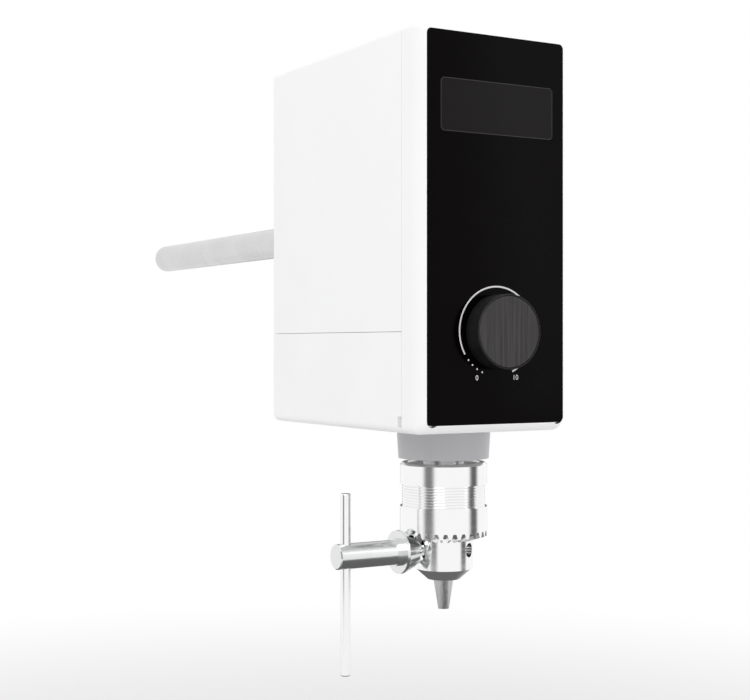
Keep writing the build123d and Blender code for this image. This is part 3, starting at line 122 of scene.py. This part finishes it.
def placeOf(tree, centre=(0, 0, 0), scale=(1, 1, 1), turn=(0, 0, 0)):
    # Object coordinates moved so that centre is at zero
    coordinates = addNode(tree, "ShaderNodeTexCoord")
    moved = addNode(tree, "ShaderNodeVectorMath", {0: coordinates.outputs["Object"], 1: centre},
                    operation="SUBTRACT")
    return addNode(tree, "ShaderNodeMapping", {"Vector": moved.outputs[0], "Rotation": turn,
                                               "Scale": scale}).outputs[0]


def noiseOf(tree, vector, scale, detail=3.0):
    return addNode(tree, "ShaderNodeTexNoise", {
        "Vector": vector, "Scale": scale, "Detail": detail,
    }).outputs["Fac"]


def ranged(tree, value, low, high, fromLow=0.3, fromHigh=0.7):
    return addNode(tree, "ShaderNodeMapRange", {
        "Value": value, "From Min": fromLow, "From Max": fromHigh, "To Min": low, "To Max": high,
    }).outputs["Result"]


def colourMix(tree, factor, dark, light):
    node = addNode(tree, "ShaderNodeMix", data_type="RGBA")
    tree.links.new(factor, node.inputs["Factor"])
    for index, colour in ((6, dark), (7, light)):
        if isinstance(colour, bpy.types.NodeSocket):
            tree.links.new(colour, node.inputs[index])
        else:
            node.inputs[index].default_value = rgba(colour)
    return node.outputs[2]


def addBump(tree, shader, height, strength, distance):
    bump = addNode(tree, "ShaderNodeBump", {"Height": height, "Strength": strength,
                                            "Distance": distance})
    tree.links.new(bump.outputs["Normal"], shader.inputs["Normal"])


def setRoughness(tree, shader, value, limits):
    tree.links.new(ranged(tree, value, *limits), shader.inputs["Roughness"])


def shaded(colour, share):
    return tuple(channel * share for channel in colour)


# Finishes
relief = {"mould": 0.00004, "lathe": 0.00002, "brush": 0.00003, "track": 0.00004, "wire": 0.0001}
driftScale = {"mould": 35.0, "lathe": 60.0}
coarseDetail = 2.0
markDetail = 4.0


def mouldedPlastic(name, look):
    # fine spark-eroded mould texture over a slow drift in gloss
    material, tree, shader = newMaterial(name)
    place = placeOf(tree)
    fine = noiseOf(tree, place, look["grainScale"], coarseDetail)
    slow = noiseOf(tree, place, driftScale["mould"], coarseDetail)
    colour = colourMix(tree, ranged(tree, slow, 0.0, 1.0), shaded(look["colour"], look["shade"]),
                       look["colour"])
    tree.links.new(colour, shader.inputs["Base Color"])
    setRoughness(tree, shader, fine, look["rough"])
    shader.inputs["Specular IOR Level"].default_value = look["specular"]
    addBump(tree, shader, fine, look["bump"], relief["mould"])
    return material


def turnedMetal(name, look):
    # circular tool marks round an axis through centre
    material, tree, shader = newMaterial(name)
    place = placeOf(tree, centre=look["centre"])
    axis = "XYZ".index(look["axis"])
    flat = [1.0, 1.0, 1.0]
    flat[axis] = 0.0
    across = addNode(tree, "ShaderNodeVectorMath", {0: place, 1: tuple(flat)},
                     operation="MULTIPLY")
    radius = addNode(tree, "ShaderNodeVectorMath", {0: across.outputs[0]}, operation="LENGTH")
    parts = addNode(tree, "ShaderNodeSeparateXYZ", {0: place})
    lathe = addNode(tree, "ShaderNodeCombineXYZ", {
        0: radius.outputs["Value"], 1: parts.outputs[axis], 2: 0.0,
    })
    marks = noiseOf(tree, lathe.outputs[0], look["markScale"], markDetail)
    slow = noiseOf(tree, place, driftScale["lathe"], coarseDetail)
    tree.links.new(colourMix(tree, ranged(tree, slow, 0.0, 1.0),
                             shaded(look["colour"], look["shade"]), look["colour"]),
                   shader.inputs["Base Color"])
    setRoughness(tree, shader, marks, look["rough"])
    shader.inputs["Metallic"].default_value = 1.0
    addBump(tree, shader, marks, look["bump"], relief["lathe"])
    return material


def brushedMetal(name, look):
    # straight brush lines: the noise is stretched along the brushing
    material, tree, shader = newMaterial(name)
    place = placeOf(tree, scale=look["stretch"])
    lines = noiseOf(tree, place, look["markScale"], markDetail)
    colour = colourMix(tree, ranged(tree, lines, 0.0, 1.0), shaded(look["colour"], look["shade"]),
                       look["colour"])
    tree.links.new(colour, shader.inputs["Base Color"])
    setRoughness(tree, shader, lines, look["rough"])
    shader.inputs["Metallic"].default_value = look["metallic"]
    addBump(tree, shader, lines, look["bump"], relief["brush"])
    return material


def circuitBoard(name, look):
    # copper tracks under green lacquer
    material, tree, shader = newMaterial(name)
    place = placeOf(tree)
    cells = addNode(tree, "ShaderNodeTexVoronoi", {"Vector": place, "Scale": look["trackScale"]},
                    distance="CHEBYCHEV", feature="F1")
    track = ranged(tree, cells.outputs["Distance"], 0.0, 1.0, *look["trackEdge"])
    tree.links.new(colourMix(tree, track, look["colour"], look["track"]),
                   shader.inputs["Base Color"])
    setRoughness(tree, shader, noiseOf(tree, place, look["lacquerScale"]), look["rough"])
    addBump(tree, shader, track, look["bump"], relief["track"])
    return material


def woundWire(name, look):
    # enamelled turns lying side by side, with painted shade in the grooves between turns
    material, tree, shader = newMaterial(name)
    place = placeOf(tree)
    turns = addNode(tree, "ShaderNodeTexWave", {"Vector": place, "Scale": look["wireScale"],
                                                "Distortion": look["waver"]},
                    wave_type="BANDS", bands_direction="Z").outputs["Fac"]
    # painted shade: the colour darkens to the look's shade share in the low grooves between turns
    tree.links.new(colourMix(tree, turns, shaded(look["colour"], look["shade"]), look["colour"]),
                   shader.inputs["Base Color"])
    setRoughness(tree, shader, turns, (*look["rough"], 0.0, 1.0))
    shader.inputs["Metallic"].default_value = look["metallic"]
    addBump(tree, shader, turns, look["bump"], relief["wire"])
    return material


whitePlastic = mouldedPlastic("whitePlastic", {
    "colour": (0.93, 0.93, 0.935), "shade": 0.985, "grainScale": 2600.0,
    "rough": (0.34, 0.42), "specular": 0.35, "bump": 0.05,
})
blackAcrylic = mouldedPlastic("blackAcrylic", {
    "colour": (0.0016, 0.0009, 0.0012), "shade": 0.8, "grainScale": 500.0,
    "rough": (0.10, 0.16), "specular": 0.04, "bump": 0.008,
})
smokedWindow = mouldedPlastic("smokedWindow", {
    "colour": (0.0128, 0.0115, 0.0120), "shade": 0.92, "grainScale": 700.0,
    "rough": (0.12, 0.18), "specular": 0.05, "bump": 0.008,
})
blackPlastic = mouldedPlastic("blackPlastic", {
    "colour": (0.022, 0.022, 0.023), "shade": 0.8, "grainScale": 2200.0,
    "rough": (0.42, 0.55), "specular": 0.4, "bump": 0.15,
})
knobPlastic = mouldedPlastic("knobPlastic", {
    "colour": (0.0075, 0.007, 0.0072), "shade": 0.8, "grainScale": 2400.0,
    "rough": (0.40, 0.50), "specular": 0.3, "bump": 0.10,
})
sealRubber = mouldedPlastic("sealRubber", {
    "colour": (0.018, 0.018, 0.018), "shade": 0.7, "grainScale": 900.0,
    "rough": (0.6, 0.8), "specular": 0.3, "bump": 0.3,
})
collarPaint = mouldedPlastic("collarPaint", {
    "colour": (0.44, 0.435, 0.45), "shade": 0.96, "grainScale": 1800.0,
    "rough": (0.30, 0.38), "specular": 0.45, "bump": 0.06,
})
motorPaint = mouldedPlastic("motorPaint", {
    "colour": (0.03, 0.032, 0.035), "shade": 0.75, "grainScale": 1400.0,
    "rough": (0.35, 0.5), "specular": 0.5, "bump": 0.2,
})
capacitorSleeve = mouldedPlastic("capacitorSleeve", {
    "colour": (0.02, 0.024, 0.05), "shade": 0.7, "grainScale": 500.0,
    "rough": (0.25, 0.35), "specular": 0.5, "bump": 0.05,
})
boardGreen = circuitBoard("boardGreen", {
    "colour": (0.012, 0.07, 0.03), "track": (0.03, 0.15, 0.06), "trackScale": 260.0,
    "trackEdge": (0.42, 0.46), "lacquerScale": 400.0, "rough": (0.25, 0.4), "bump": 0.3,
})
# shade here is the share kept by the painted shade in the grooves between turns
copperWire = woundWire("copperWire", {
    "colour": (0.55, 0.22, 0.09), "shade": 0.4, "wireScale": 450.0, "waver": 1.5,
    "rough": (0.45, 0.25), "metallic": 0.8, "bump": 0.6,
})

polishedSleeve = turnedMetal("polishedSleeve", {
    "colour": (0.93, 0.93, 0.93), "shade": 0.985, "axis": "Z", "centre": tuple(spindleMiddle),
    "markScale": 1800.0, "rough": (0.10, 0.16), "bump": 0.10,
})
polishedKey = turnedMetal("polishedKey", {
    "colour": (0.80, 0.81, 0.805), "shade": 0.95, "axis": "X", "centre": tuple(keyMiddle),
    "markScale": 1800.0, "rough": (0.14, 0.22), "bump": 0.15,
})
barSteel = turnedMetal("barSteel", {
    "colour": (0.92, 0.92, 0.92), "shade": 0.98, "axis": "Z", "centre": tuple(keyMiddle),
    "markScale": 1600.0, "rough": (0.10, 0.16), "bump": 0.10,
})
rodSteel = turnedMetal("rodSteel", {
    "colour": (0.68, 0.68, 0.68), "shade": 0.94, "axis": "Y", "centre": (0, 0, 0),
    "markScale": 1500.0, "rough": (0.24, 0.36), "bump": 0.25,
})
spindleSteel = turnedMetal("spindleSteel", {
    "colour": (0.62, 0.62, 0.63), "shade": 0.9, "axis": "Z", "centre": tuple(spindleMiddle),
    "markScale": 1500.0, "rough": (0.2, 0.3), "bump": 0.2,
})
bearingSteel = turnedMetal("bearingSteel", {
    "colour": (0.70, 0.70, 0.71), "shade": 0.95, "axis": "Z", "centre": tuple(spindleMiddle),
    "markScale": 2400.0, "rough": (0.08, 0.16), "bump": 0.08,
})
gearSteel = turnedMetal("gearSteel", {
    "colour": (0.45, 0.45, 0.46), "shade": 0.85, "axis": "Z", "centre": tuple(spindleMiddle),
    "markScale": 1100.0, "rough": (0.26, 0.4), "bump": 0.3,
})
jawSteel = brushedMetal("jawSteel", {
    "colour": (0.62, 0.62, 0.63), "shade": 0.85, "stretch": (1.0, 1.0, 0.08), "markScale": 1500.0,
    "rough": (0.24, 0.36), "metallic": 1.0, "bump": 0.2,
})
screwZinc = brushedMetal("screwZinc", {
    "colour": (0.62, 0.63, 0.64), "shade": 0.88, "stretch": (1.0, 1.0, 1.0), "markScale": 900.0,
    "rough": (0.22, 0.34), "metallic": 1.0, "bump": 0.15,
})
castAluminium = brushedMetal("castAluminium", {
    "colour": (0.66, 0.67, 0.68), "shade": 0.9, "stretch": (1.0, 1.0, 1.0), "markScale": 700.0,
    "rough": (0.35, 0.5), "metallic": 1.0, "bump": 0.35,
})
jackBrass = brushedMetal("jackBrass", {
    "colour": (0.78, 0.60, 0.28), "shade": 0.9, "stretch": (1.0, 0.2, 1.0), "markScale": 1500.0,
    "rough": (0.18, 0.3), "metallic": 1.0, "bump": 0.1,
})
brushedFace = brushedMetal("brushedFace", {
    "colour": (0.062, 0.058, 0.061), "shade": 0.45, "stretch": (1.0, 1.0, 0.02),
    "markScale": 1500.0, "rough": (0.38, 0.52), "metallic": 0.55, "bump": 0.35,
})
printWhite = mouldedPlastic("printWhite", {
    "colour": (0.80, 0.80, 0.80), "shade": 0.97, "grainScale": 1500.0,
    "rough": (0.5, 0.6), "specular": 0.3, "bump": 0.05,
})
windowLine = mouldedPlastic("windowLine", {
    "colour": (0.034, 0.031, 0.032), "shade": 0.97, "grainScale": 1500.0,
    "rough": (0.3, 0.4), "specular": 0.3, "bump": 0.05,
})

finishes = {
    whitePlastic: ["front_cover", "upper_housing", "lower_housing"],
    blackAcrylic: ["front_panel"],
    smokedWindow: ["display_window"],
    blackPlastic: ["display_module", "potentiometer", "board_connectors", "power_jack",
                   "switch_frame", "switch_rocker"],
    boardGreen: ["display_board", "control_board"],
    capacitorSleeve: ["capacitors"],
    screwZinc: ["display_screws", "cover_screws", "base_screws", "rear_screws", "socket_screws",
                "collar_screws", "motor_screws", "board_screws", "pot_nut", "pot_shaft",
                "rod_washer", "rod_nut", "jack_nut"],
    knobPlastic: ["knob_body"],
    brushedFace: ["knob_cap"],
    castAluminium: ["chassis_frame", "rod_socket", "heat_sink"],
    rodSteel: ["support_rod"],
    collarPaint: ["bearing_collar"],
    sealRubber: ["shaft_seal"],
    bearingSteel: ["lower_bearing_outer", "upper_bearing_outer", "lower_bearing_inner",
                   "upper_bearing_inner", "bearing_balls", "motor_bearings"],
    spindleSteel: ["spindle", "motor_shaft"],
    gearSteel: ["driven_gear", "spacer_tube", "circlip", "motor_stator", "motor_rotor",
                "motor_pinion", "chuck_nut"],
    motorPaint: ["motor_case"],
    copperWire: ["stator_windings"],
    jackBrass: ["jack_pin"],
    polishedSleeve: ["chuck_sleeve", "chuck_body"],
    jawSteel: ["jaw_1", "jaw_2", "jaw_3"],
    polishedKey: ["chuck_key"],
    barSteel: ["key_bar"],
}


def dressNodes():
    for material, names in finishes.items():
        for name in names:
            data = nodes[name].data
            data.materials.clear()
            data.materials.append(material)
    bare = [name for name in nodes if not nodes[name].data.materials]
    print("nodes dressed, left bare:", bare)


dressNodes()


# Studio
studio = {
    "ambient": 0.62,
    "floorBelow": 0.18,  # under the lowest point
    "floorColour": (0.90, 0.90, 0.90),
    "floorSize": 12.0,
    "floorFade": (0.35, 1.1),  # from painted to glowing, measured from the middle
    "lamps": {
        "keyLamp": {"place": (-1.5, -1.3, 1.2), "size": 1.6, "power": 17.0},
        "topLamp": {"place": (0.2, -0.1, 1.7), "size": 1.5, "power": 8.0},
        "fillLamp": {"place": (1.4, -1.2, 0.4), "size": 1.2, "power": 5.0},
    },
    "aim": (0.0, -0.08, -0.05),
    # dark cards that only reflections see, turned right of the camera as the object sees it
    "cards": {
        "leftCard": {"turn": -40.0, "rise": 0.0, "width": 1.0, "height": 1.6, "grey": 0.20},
        "rightCard": {"turn": 82.0, "rise": 0.0, "width": 0.95, "height": 1.6, "grey": 0.10},
        "backCard": {"turn": 178.0, "rise": 0.0, "width": 0.9, "height": 1.3, "grey": 0.16},
        "lowCard": {"turn": 0.0, "rise": -90.0, "width": 1.1, "height": 1.1, "grey": 0.14,
                    "distance": 0.34},
    },
    "cardDistance": 1.35,
    "cardEdge": (0.12, 0.5),  # shares of a card's width between which it fades
}


def makeWorld(look):
    world = bpy.data.worlds.new("studioWorld")
    bpy.context.scene.world = world
    world.use_nodes = True
    tree = world.node_tree
    tree.nodes.clear()
    output = tree.nodes.new("ShaderNodeOutputWorld")
    path = addNode(tree, "ShaderNodeLightPath")
    seen = addNode(tree, "ShaderNodeMath", {0: path.outputs["Is Camera Ray"],
                                            1: path.outputs["Is Glossy Ray"]}, operation="MAXIMUM")
    shown = addNode(tree, "ShaderNodeMath", {0: seen.outputs[0],
                                             1: path.outputs["Is Transmission Ray"]},
                    operation="MAXIMUM")
    strength = addNode(tree, "ShaderNodeMapRange", {"Value": shown.outputs[0],
                                                    "To Min": look["ambient"], "To Max": 1.0})
    background = addNode(tree, "ShaderNodeBackground", {"Color": (1, 1, 1, 1),
                                                        "Strength": strength.outputs["Result"]})
    tree.links.new(background.outputs[0], output.inputs["Surface"])


def makeLamp(name, look, aim):
    data = bpy.data.lights.new(name, "AREA")
    data.shape = "SQUARE"
    data.size = look["size"]
    data.energy = look["power"]
    lamp = bpy.data.objects.new(name, data)
    lamp.location = look["place"]
    lamp.rotation_mode = "QUATERNION"
    lamp.rotation_quaternion = (Vector(aim) - Vector(look["place"])).to_track_quat("-Z", "Y")
    bpy.context.scene.collection.objects.link(lamp)


def makeQuad(name, width, height):
    mesh = bpy.data.meshes.new(name)
    corners = [(-width / 2, -height / 2, 0), (width / 2, -height / 2, 0),
               (width / 2, height / 2, 0), (-width / 2, height / 2, 0)]
    mesh.from_pydata(corners, [], [(0, 1, 2, 3)])
    quad = bpy.data.objects.new(name, mesh)
    bpy.context.scene.collection.objects.link(quad)
    return quad


def makeCard(name, look, distance, aim, fade):
    # a card with soft side edges
    card = makeQuad(name, look["width"], look["height"])
    heading = math.radians(270 - cameraLook["turnRight"]) + math.radians(look["turn"])
    rise = math.radians(look["rise"])
    away = Vector((math.cos(heading) * math.cos(rise), math.sin(heading) * math.cos(rise),
                   math.sin(rise)))
    card.location = Vector(aim) + away * look.get("distance", distance)
    card.rotation_mode = "QUATERNION"
    card.rotation_quaternion = (-away).to_track_quat("Z", "Y")
    material = bpy.data.materials.new(name)
    material.use_nodes = True
    tree = material.node_tree
    tree.nodes.clear()
    output = tree.nodes.new("ShaderNodeOutputMaterial")
    coordinates = addNode(tree, "ShaderNodeTexCoord")
    parts = addNode(tree, "ShaderNodeSeparateXYZ", {0: coordinates.outputs["Object"]})
    side = addNode(tree, "ShaderNodeMath", {0: parts.outputs[0]}, operation="ABSOLUTE")
    edge = addNode(tree, "ShaderNodeMapRange", {
        "Value": side.outputs[0], "From Min": look["width"] * fade[0],
        "From Max": look["width"] * fade[1], "To Min": 0.0, "To Max": 1.0,
    }, interpolation_type="SMOOTHSTEP")
    dark = addNode(tree, "ShaderNodeEmission", {"Color": rgba((look["grey"],) * 3),
                                                "Strength": 1.0})
    clear = addNode(tree, "ShaderNodeBsdfTransparent")
    mix = addNode(tree, "ShaderNodeMixShader", {0: edge.outputs["Result"], 1: dark.outputs[0],
                                                2: clear.outputs[0]})
    tree.links.new(mix.outputs[0], output.inputs["Surface"])
    card.data.materials.append(material)
    for ray in ("camera", "diffuse", "transmission", "shadow", "volume_scatter"):
        setattr(card, "visible_" + ray, False)


def makeFloor(look):
    floor = makeQuad("studioFloor", look["floorSize"], look["floorSize"])
    floor.location = (0, 0, cadBox[0].z - look["floorBelow"])
    material = bpy.data.materials.new("floorPaint")
    material.use_nodes = True
    tree = material.node_tree
    tree.nodes.clear()
    output = tree.nodes.new("ShaderNodeOutputMaterial")
    coordinates = addNode(tree, "ShaderNodeTexCoord")
    reach = addNode(tree, "ShaderNodeVectorMath", {0: coordinates.outputs["Object"]},
                    operation="LENGTH")
    fade = addNode(tree, "ShaderNodeMapRange", {
        "Value": reach.outputs["Value"], "From Min": look["floorFade"][0],
        "From Max": look["floorFade"][1], "To Min": 0.0, "To Max": 1.0,
    }, interpolation_type="SMOOTHSTEP")
    paint = addNode(tree, "ShaderNodeBsdfDiffuse", {"Color": rgba(look["floorColour"])})
    glow = addNode(tree, "ShaderNodeEmission", {"Color": (1, 1, 1, 1), "Strength": 1.0})
    ground = addNode(tree, "ShaderNodeMixShader", {0: fade.outputs["Result"],
                                                   1: paint.outputs[0], 2: glow.outputs[0]})
    # seen from below, the floor is clear
    sides = addNode(tree, "ShaderNodeNewGeometry")
    clear = addNode(tree, "ShaderNodeBsdfTransparent")
    both = addNode(tree, "ShaderNodeMixShader", {0: sides.outputs["Backfacing"],
                                                 1: ground.outputs[0], 2: clear.outputs[0]})
    tree.links.new(both.outputs[0], output.inputs["Surface"])
    floor.data.materials.append(material)


makeWorld(studio)
for lampName, lampLook in studio["lamps"].items():
    makeLamp(lampName, lampLook, studio["aim"])
for cardName, cardLook in studio["cards"].items():
    makeCard(cardName, cardLook, studio["cardDistance"], studio["aim"], studio["cardEdge"])
makeFloor(studio)
bpy.context.scene.view_settings.view_transform = "Standard"
print("studio built")


# Geometry Nodes helpers
lineSides = 8


def newTree(name, inputs):
    tree = bpy.data.node_groups.new(name, "GeometryNodeTree")
    tree.interface.new_socket("Geometry", in_out="INPUT", socket_type="NodeSocketGeometry")
    for label, kind in inputs:
        tree.interface.new_socket(label, in_out="INPUT", socket_type="NodeSocket" + kind)
    tree.interface.new_socket("Geometry", in_out="OUTPUT", socket_type="NodeSocketGeometry")
    given = tree.nodes.new("NodeGroupInput")
    return tree, given


def finishTree(tree, parts, place, material):
    # joined, stood upright on the panel and made real
    joined = tree.nodes.new("GeometryNodeJoinGeometry")
    for part in parts:
        tree.links.new(part, joined.inputs["Geometry"])
    upright = addNode(tree, "GeometryNodeTransform", {
        "Geometry": joined.outputs["Geometry"], "Translation": place,
        "Rotation": (math.radians(90), 0, 0),
    })
    real = addNode(tree, "GeometryNodeRealizeInstances", {"Geometry": upright.outputs["Geometry"]})
    painted = addNode(tree, "GeometryNodeSetMaterial", {"Geometry": real.outputs["Geometry"],
                                                        "Material": material})
    output = tree.nodes.new("NodeGroupOutput")
    tree.links.new(painted.outputs["Geometry"], output.inputs["Geometry"])


def flatLine(tree, curve, halfWidth, thin):
    # a line of round section pressed flat
    section = addNode(tree, "GeometryNodeCurvePrimitiveCircle", {"Resolution": lineSides,
                                                                 "Radius": halfWidth})
    tube = addNode(tree, "GeometryNodeCurveToMesh", {
        "Curve": curve, "Profile Curve": section.outputs["Curve"], "Fill Caps": True,
    })
    return addNode(tree, "GeometryNodeTransform", {"Geometry": tube.outputs["Mesh"],
                                                   "Scale": (1, 1, thin)}).outputs["Geometry"]


def runTree(name, tree, values):
    piece = bpy.data.objects.new(name, bpy.data.meshes.new(name + "Seed"))
    bpy.context.scene.collection.objects.link(piece)
    modifier = piece.modifiers.new("shape", "NODES")
    modifier.node_group = tree
    for item in tree.interface.items_tree:
        if item.in_out == "INPUT" and item.name in values:
            modifier[item.identifier] = values[item.name]
    graph = bpy.context.evaluated_depsgraph_get()
    mesh = bpy.data.meshes.new_from_object(piece.evaluated_get(graph))
    piece.modifiers.remove(modifier)
    mesh.name = name
    piece.data = mesh
    return piece


# Printed dial round the knob
dialPrint = {
    "radius": 20.8 * mm,
    "rise": 0.35 * mm,  # middle of the dial above the knob's
    "lineWidth": 0.8 * mm,
    "thin": 0.04,
    "arcFrom": -65.0,  # degrees, anticlockwise from three o'clock
    "arcTo": 211.0,
    "arcSteps": 160,
    "dotsFrom": 220.0,
    "dotsTo": 246.5,
    "dots": 4,
    "dotRadius": 0.42 * mm,
    "dotSides": 24,
    "ink": 0.02 * mm,
    "numbers": {"0": (-11.2, -21.4), "10": (10.6, -21.4)},  # mm from the knob's middle
    "numberSize": 3.4 * mm,
}


def makeDialArc(look):
    tree, given = newTree("dialTree", [("Radius", "Float"), ("Line", "Float"), ("Dot", "Float"),
                                       ("Dots", "Int")])
    arc = addNode(tree, "GeometryNodeCurveArc", {
        "Resolution": look["arcSteps"], "Radius": given.outputs["Radius"],
        "Start Angle": math.radians(look["arcFrom"]),
        "Sweep Angle": math.radians(look["arcTo"] - look["arcFrom"]),
    })
    line = flatLine(tree, arc.outputs["Curve"], given.outputs["Line"], look["thin"])
    row = addNode(tree, "GeometryNodeCurveArc", {
        "Resolution": given.outputs["Dots"], "Radius": given.outputs["Radius"],
        "Start Angle": math.radians(look["dotsFrom"]),
        "Sweep Angle": math.radians(look["dotsTo"] - look["dotsFrom"]),
    })
    dot = addNode(tree, "GeometryNodeMeshCylinder", {
        "Vertices": look["dotSides"], "Radius": given.outputs["Dot"], "Depth": 2 * look["ink"],
    })
    dots = addNode(tree, "GeometryNodeInstanceOnPoints", {"Points": row.outputs["Curve"],
                                                          "Instance": dot.outputs["Mesh"]})
    place = (knobMiddle.x, panelFace, knobMiddle.z + look["rise"])
    finishTree(tree, [line, dots.outputs["Instances"]], place, printWhite)
    scale = runTree("dialScale", tree, {"Radius": look["radius"], "Line": look["lineWidth"] / 2,
                                        "Dot": look["dotRadius"], "Dots": look["dots"]})
    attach(scale, "housing")


def makeNumbers(look):
    for body, (x, z) in look["numbers"].items():
        curve = bpy.data.curves.new("dialNumber" + body, "FONT")
        curve.body = body
        curve.size = look["numberSize"]
        curve.align_x = "CENTER"
        curve.align_y = "CENTER"
        writing = bpy.data.objects.new("writing" + body, curve)
        bpy.context.scene.collection.objects.link(writing)
        graph = bpy.context.evaluated_depsgraph_get()
        mesh = bpy.data.meshes.new_from_object(writing.evaluated_get(graph))
        bpy.data.objects.remove(writing)
        mesh.transform(Matrix.Translation((knobMiddle.x + x * mm, panelFace - look["ink"],
                                           knobMiddle.z + z * mm))
                       @ Matrix.Rotation(math.radians(90), 4, "X"))
        mesh.materials.clear()
        mesh.materials.append(printWhite)
        number = bpy.data.objects.new("dialNumber" + body, mesh)
        bpy.context.scene.collection.objects.link(number)
        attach(number, "housing")


makeDialArc(dialPrint)
makeNumbers(dialPrint)
print("dial printed")


# Thin line round the display window
windowEdge = {
    "corner": 1.2 * mm,
    "lineWidth": 0.35 * mm,
    "thin": 0.1,
}


def makeWindowLine(look):
    tree, given = newTree("windowTree", [("Width", "Float"), ("Height", "Float"),
                                         ("Corner", "Float"), ("Line", "Float")])
    frameCurve = addNode(tree, "GeometryNodeCurvePrimitiveQuadrilateral", {
        "Width": given.outputs["Width"], "Height": given.outputs["Height"],
    })
    rounded = addNode(tree, "GeometryNodeFilletCurve", {"Curve": frameCurve.outputs["Curve"],
                                                        "Radius": given.outputs["Corner"]})
    line = flatLine(tree, rounded.outputs["Curve"], given.outputs["Line"], look["thin"])
    middle = (windowBox[0] + windowBox[1]) / 2
    finishTree(tree, [line], (middle.x, panelFace, middle.z), windowLine)
    ring = runTree("windowLine", tree, {
        "Width": windowBox[1].x - windowBox[0].x, "Height": windowBox[1].z - windowBox[0].z,
        "Corner": look["corner"], "Line": look["lineWidth"] / 2,
    })
    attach(ring, "housing")


makeWindowLine(windowEdge)
print("window line printed")
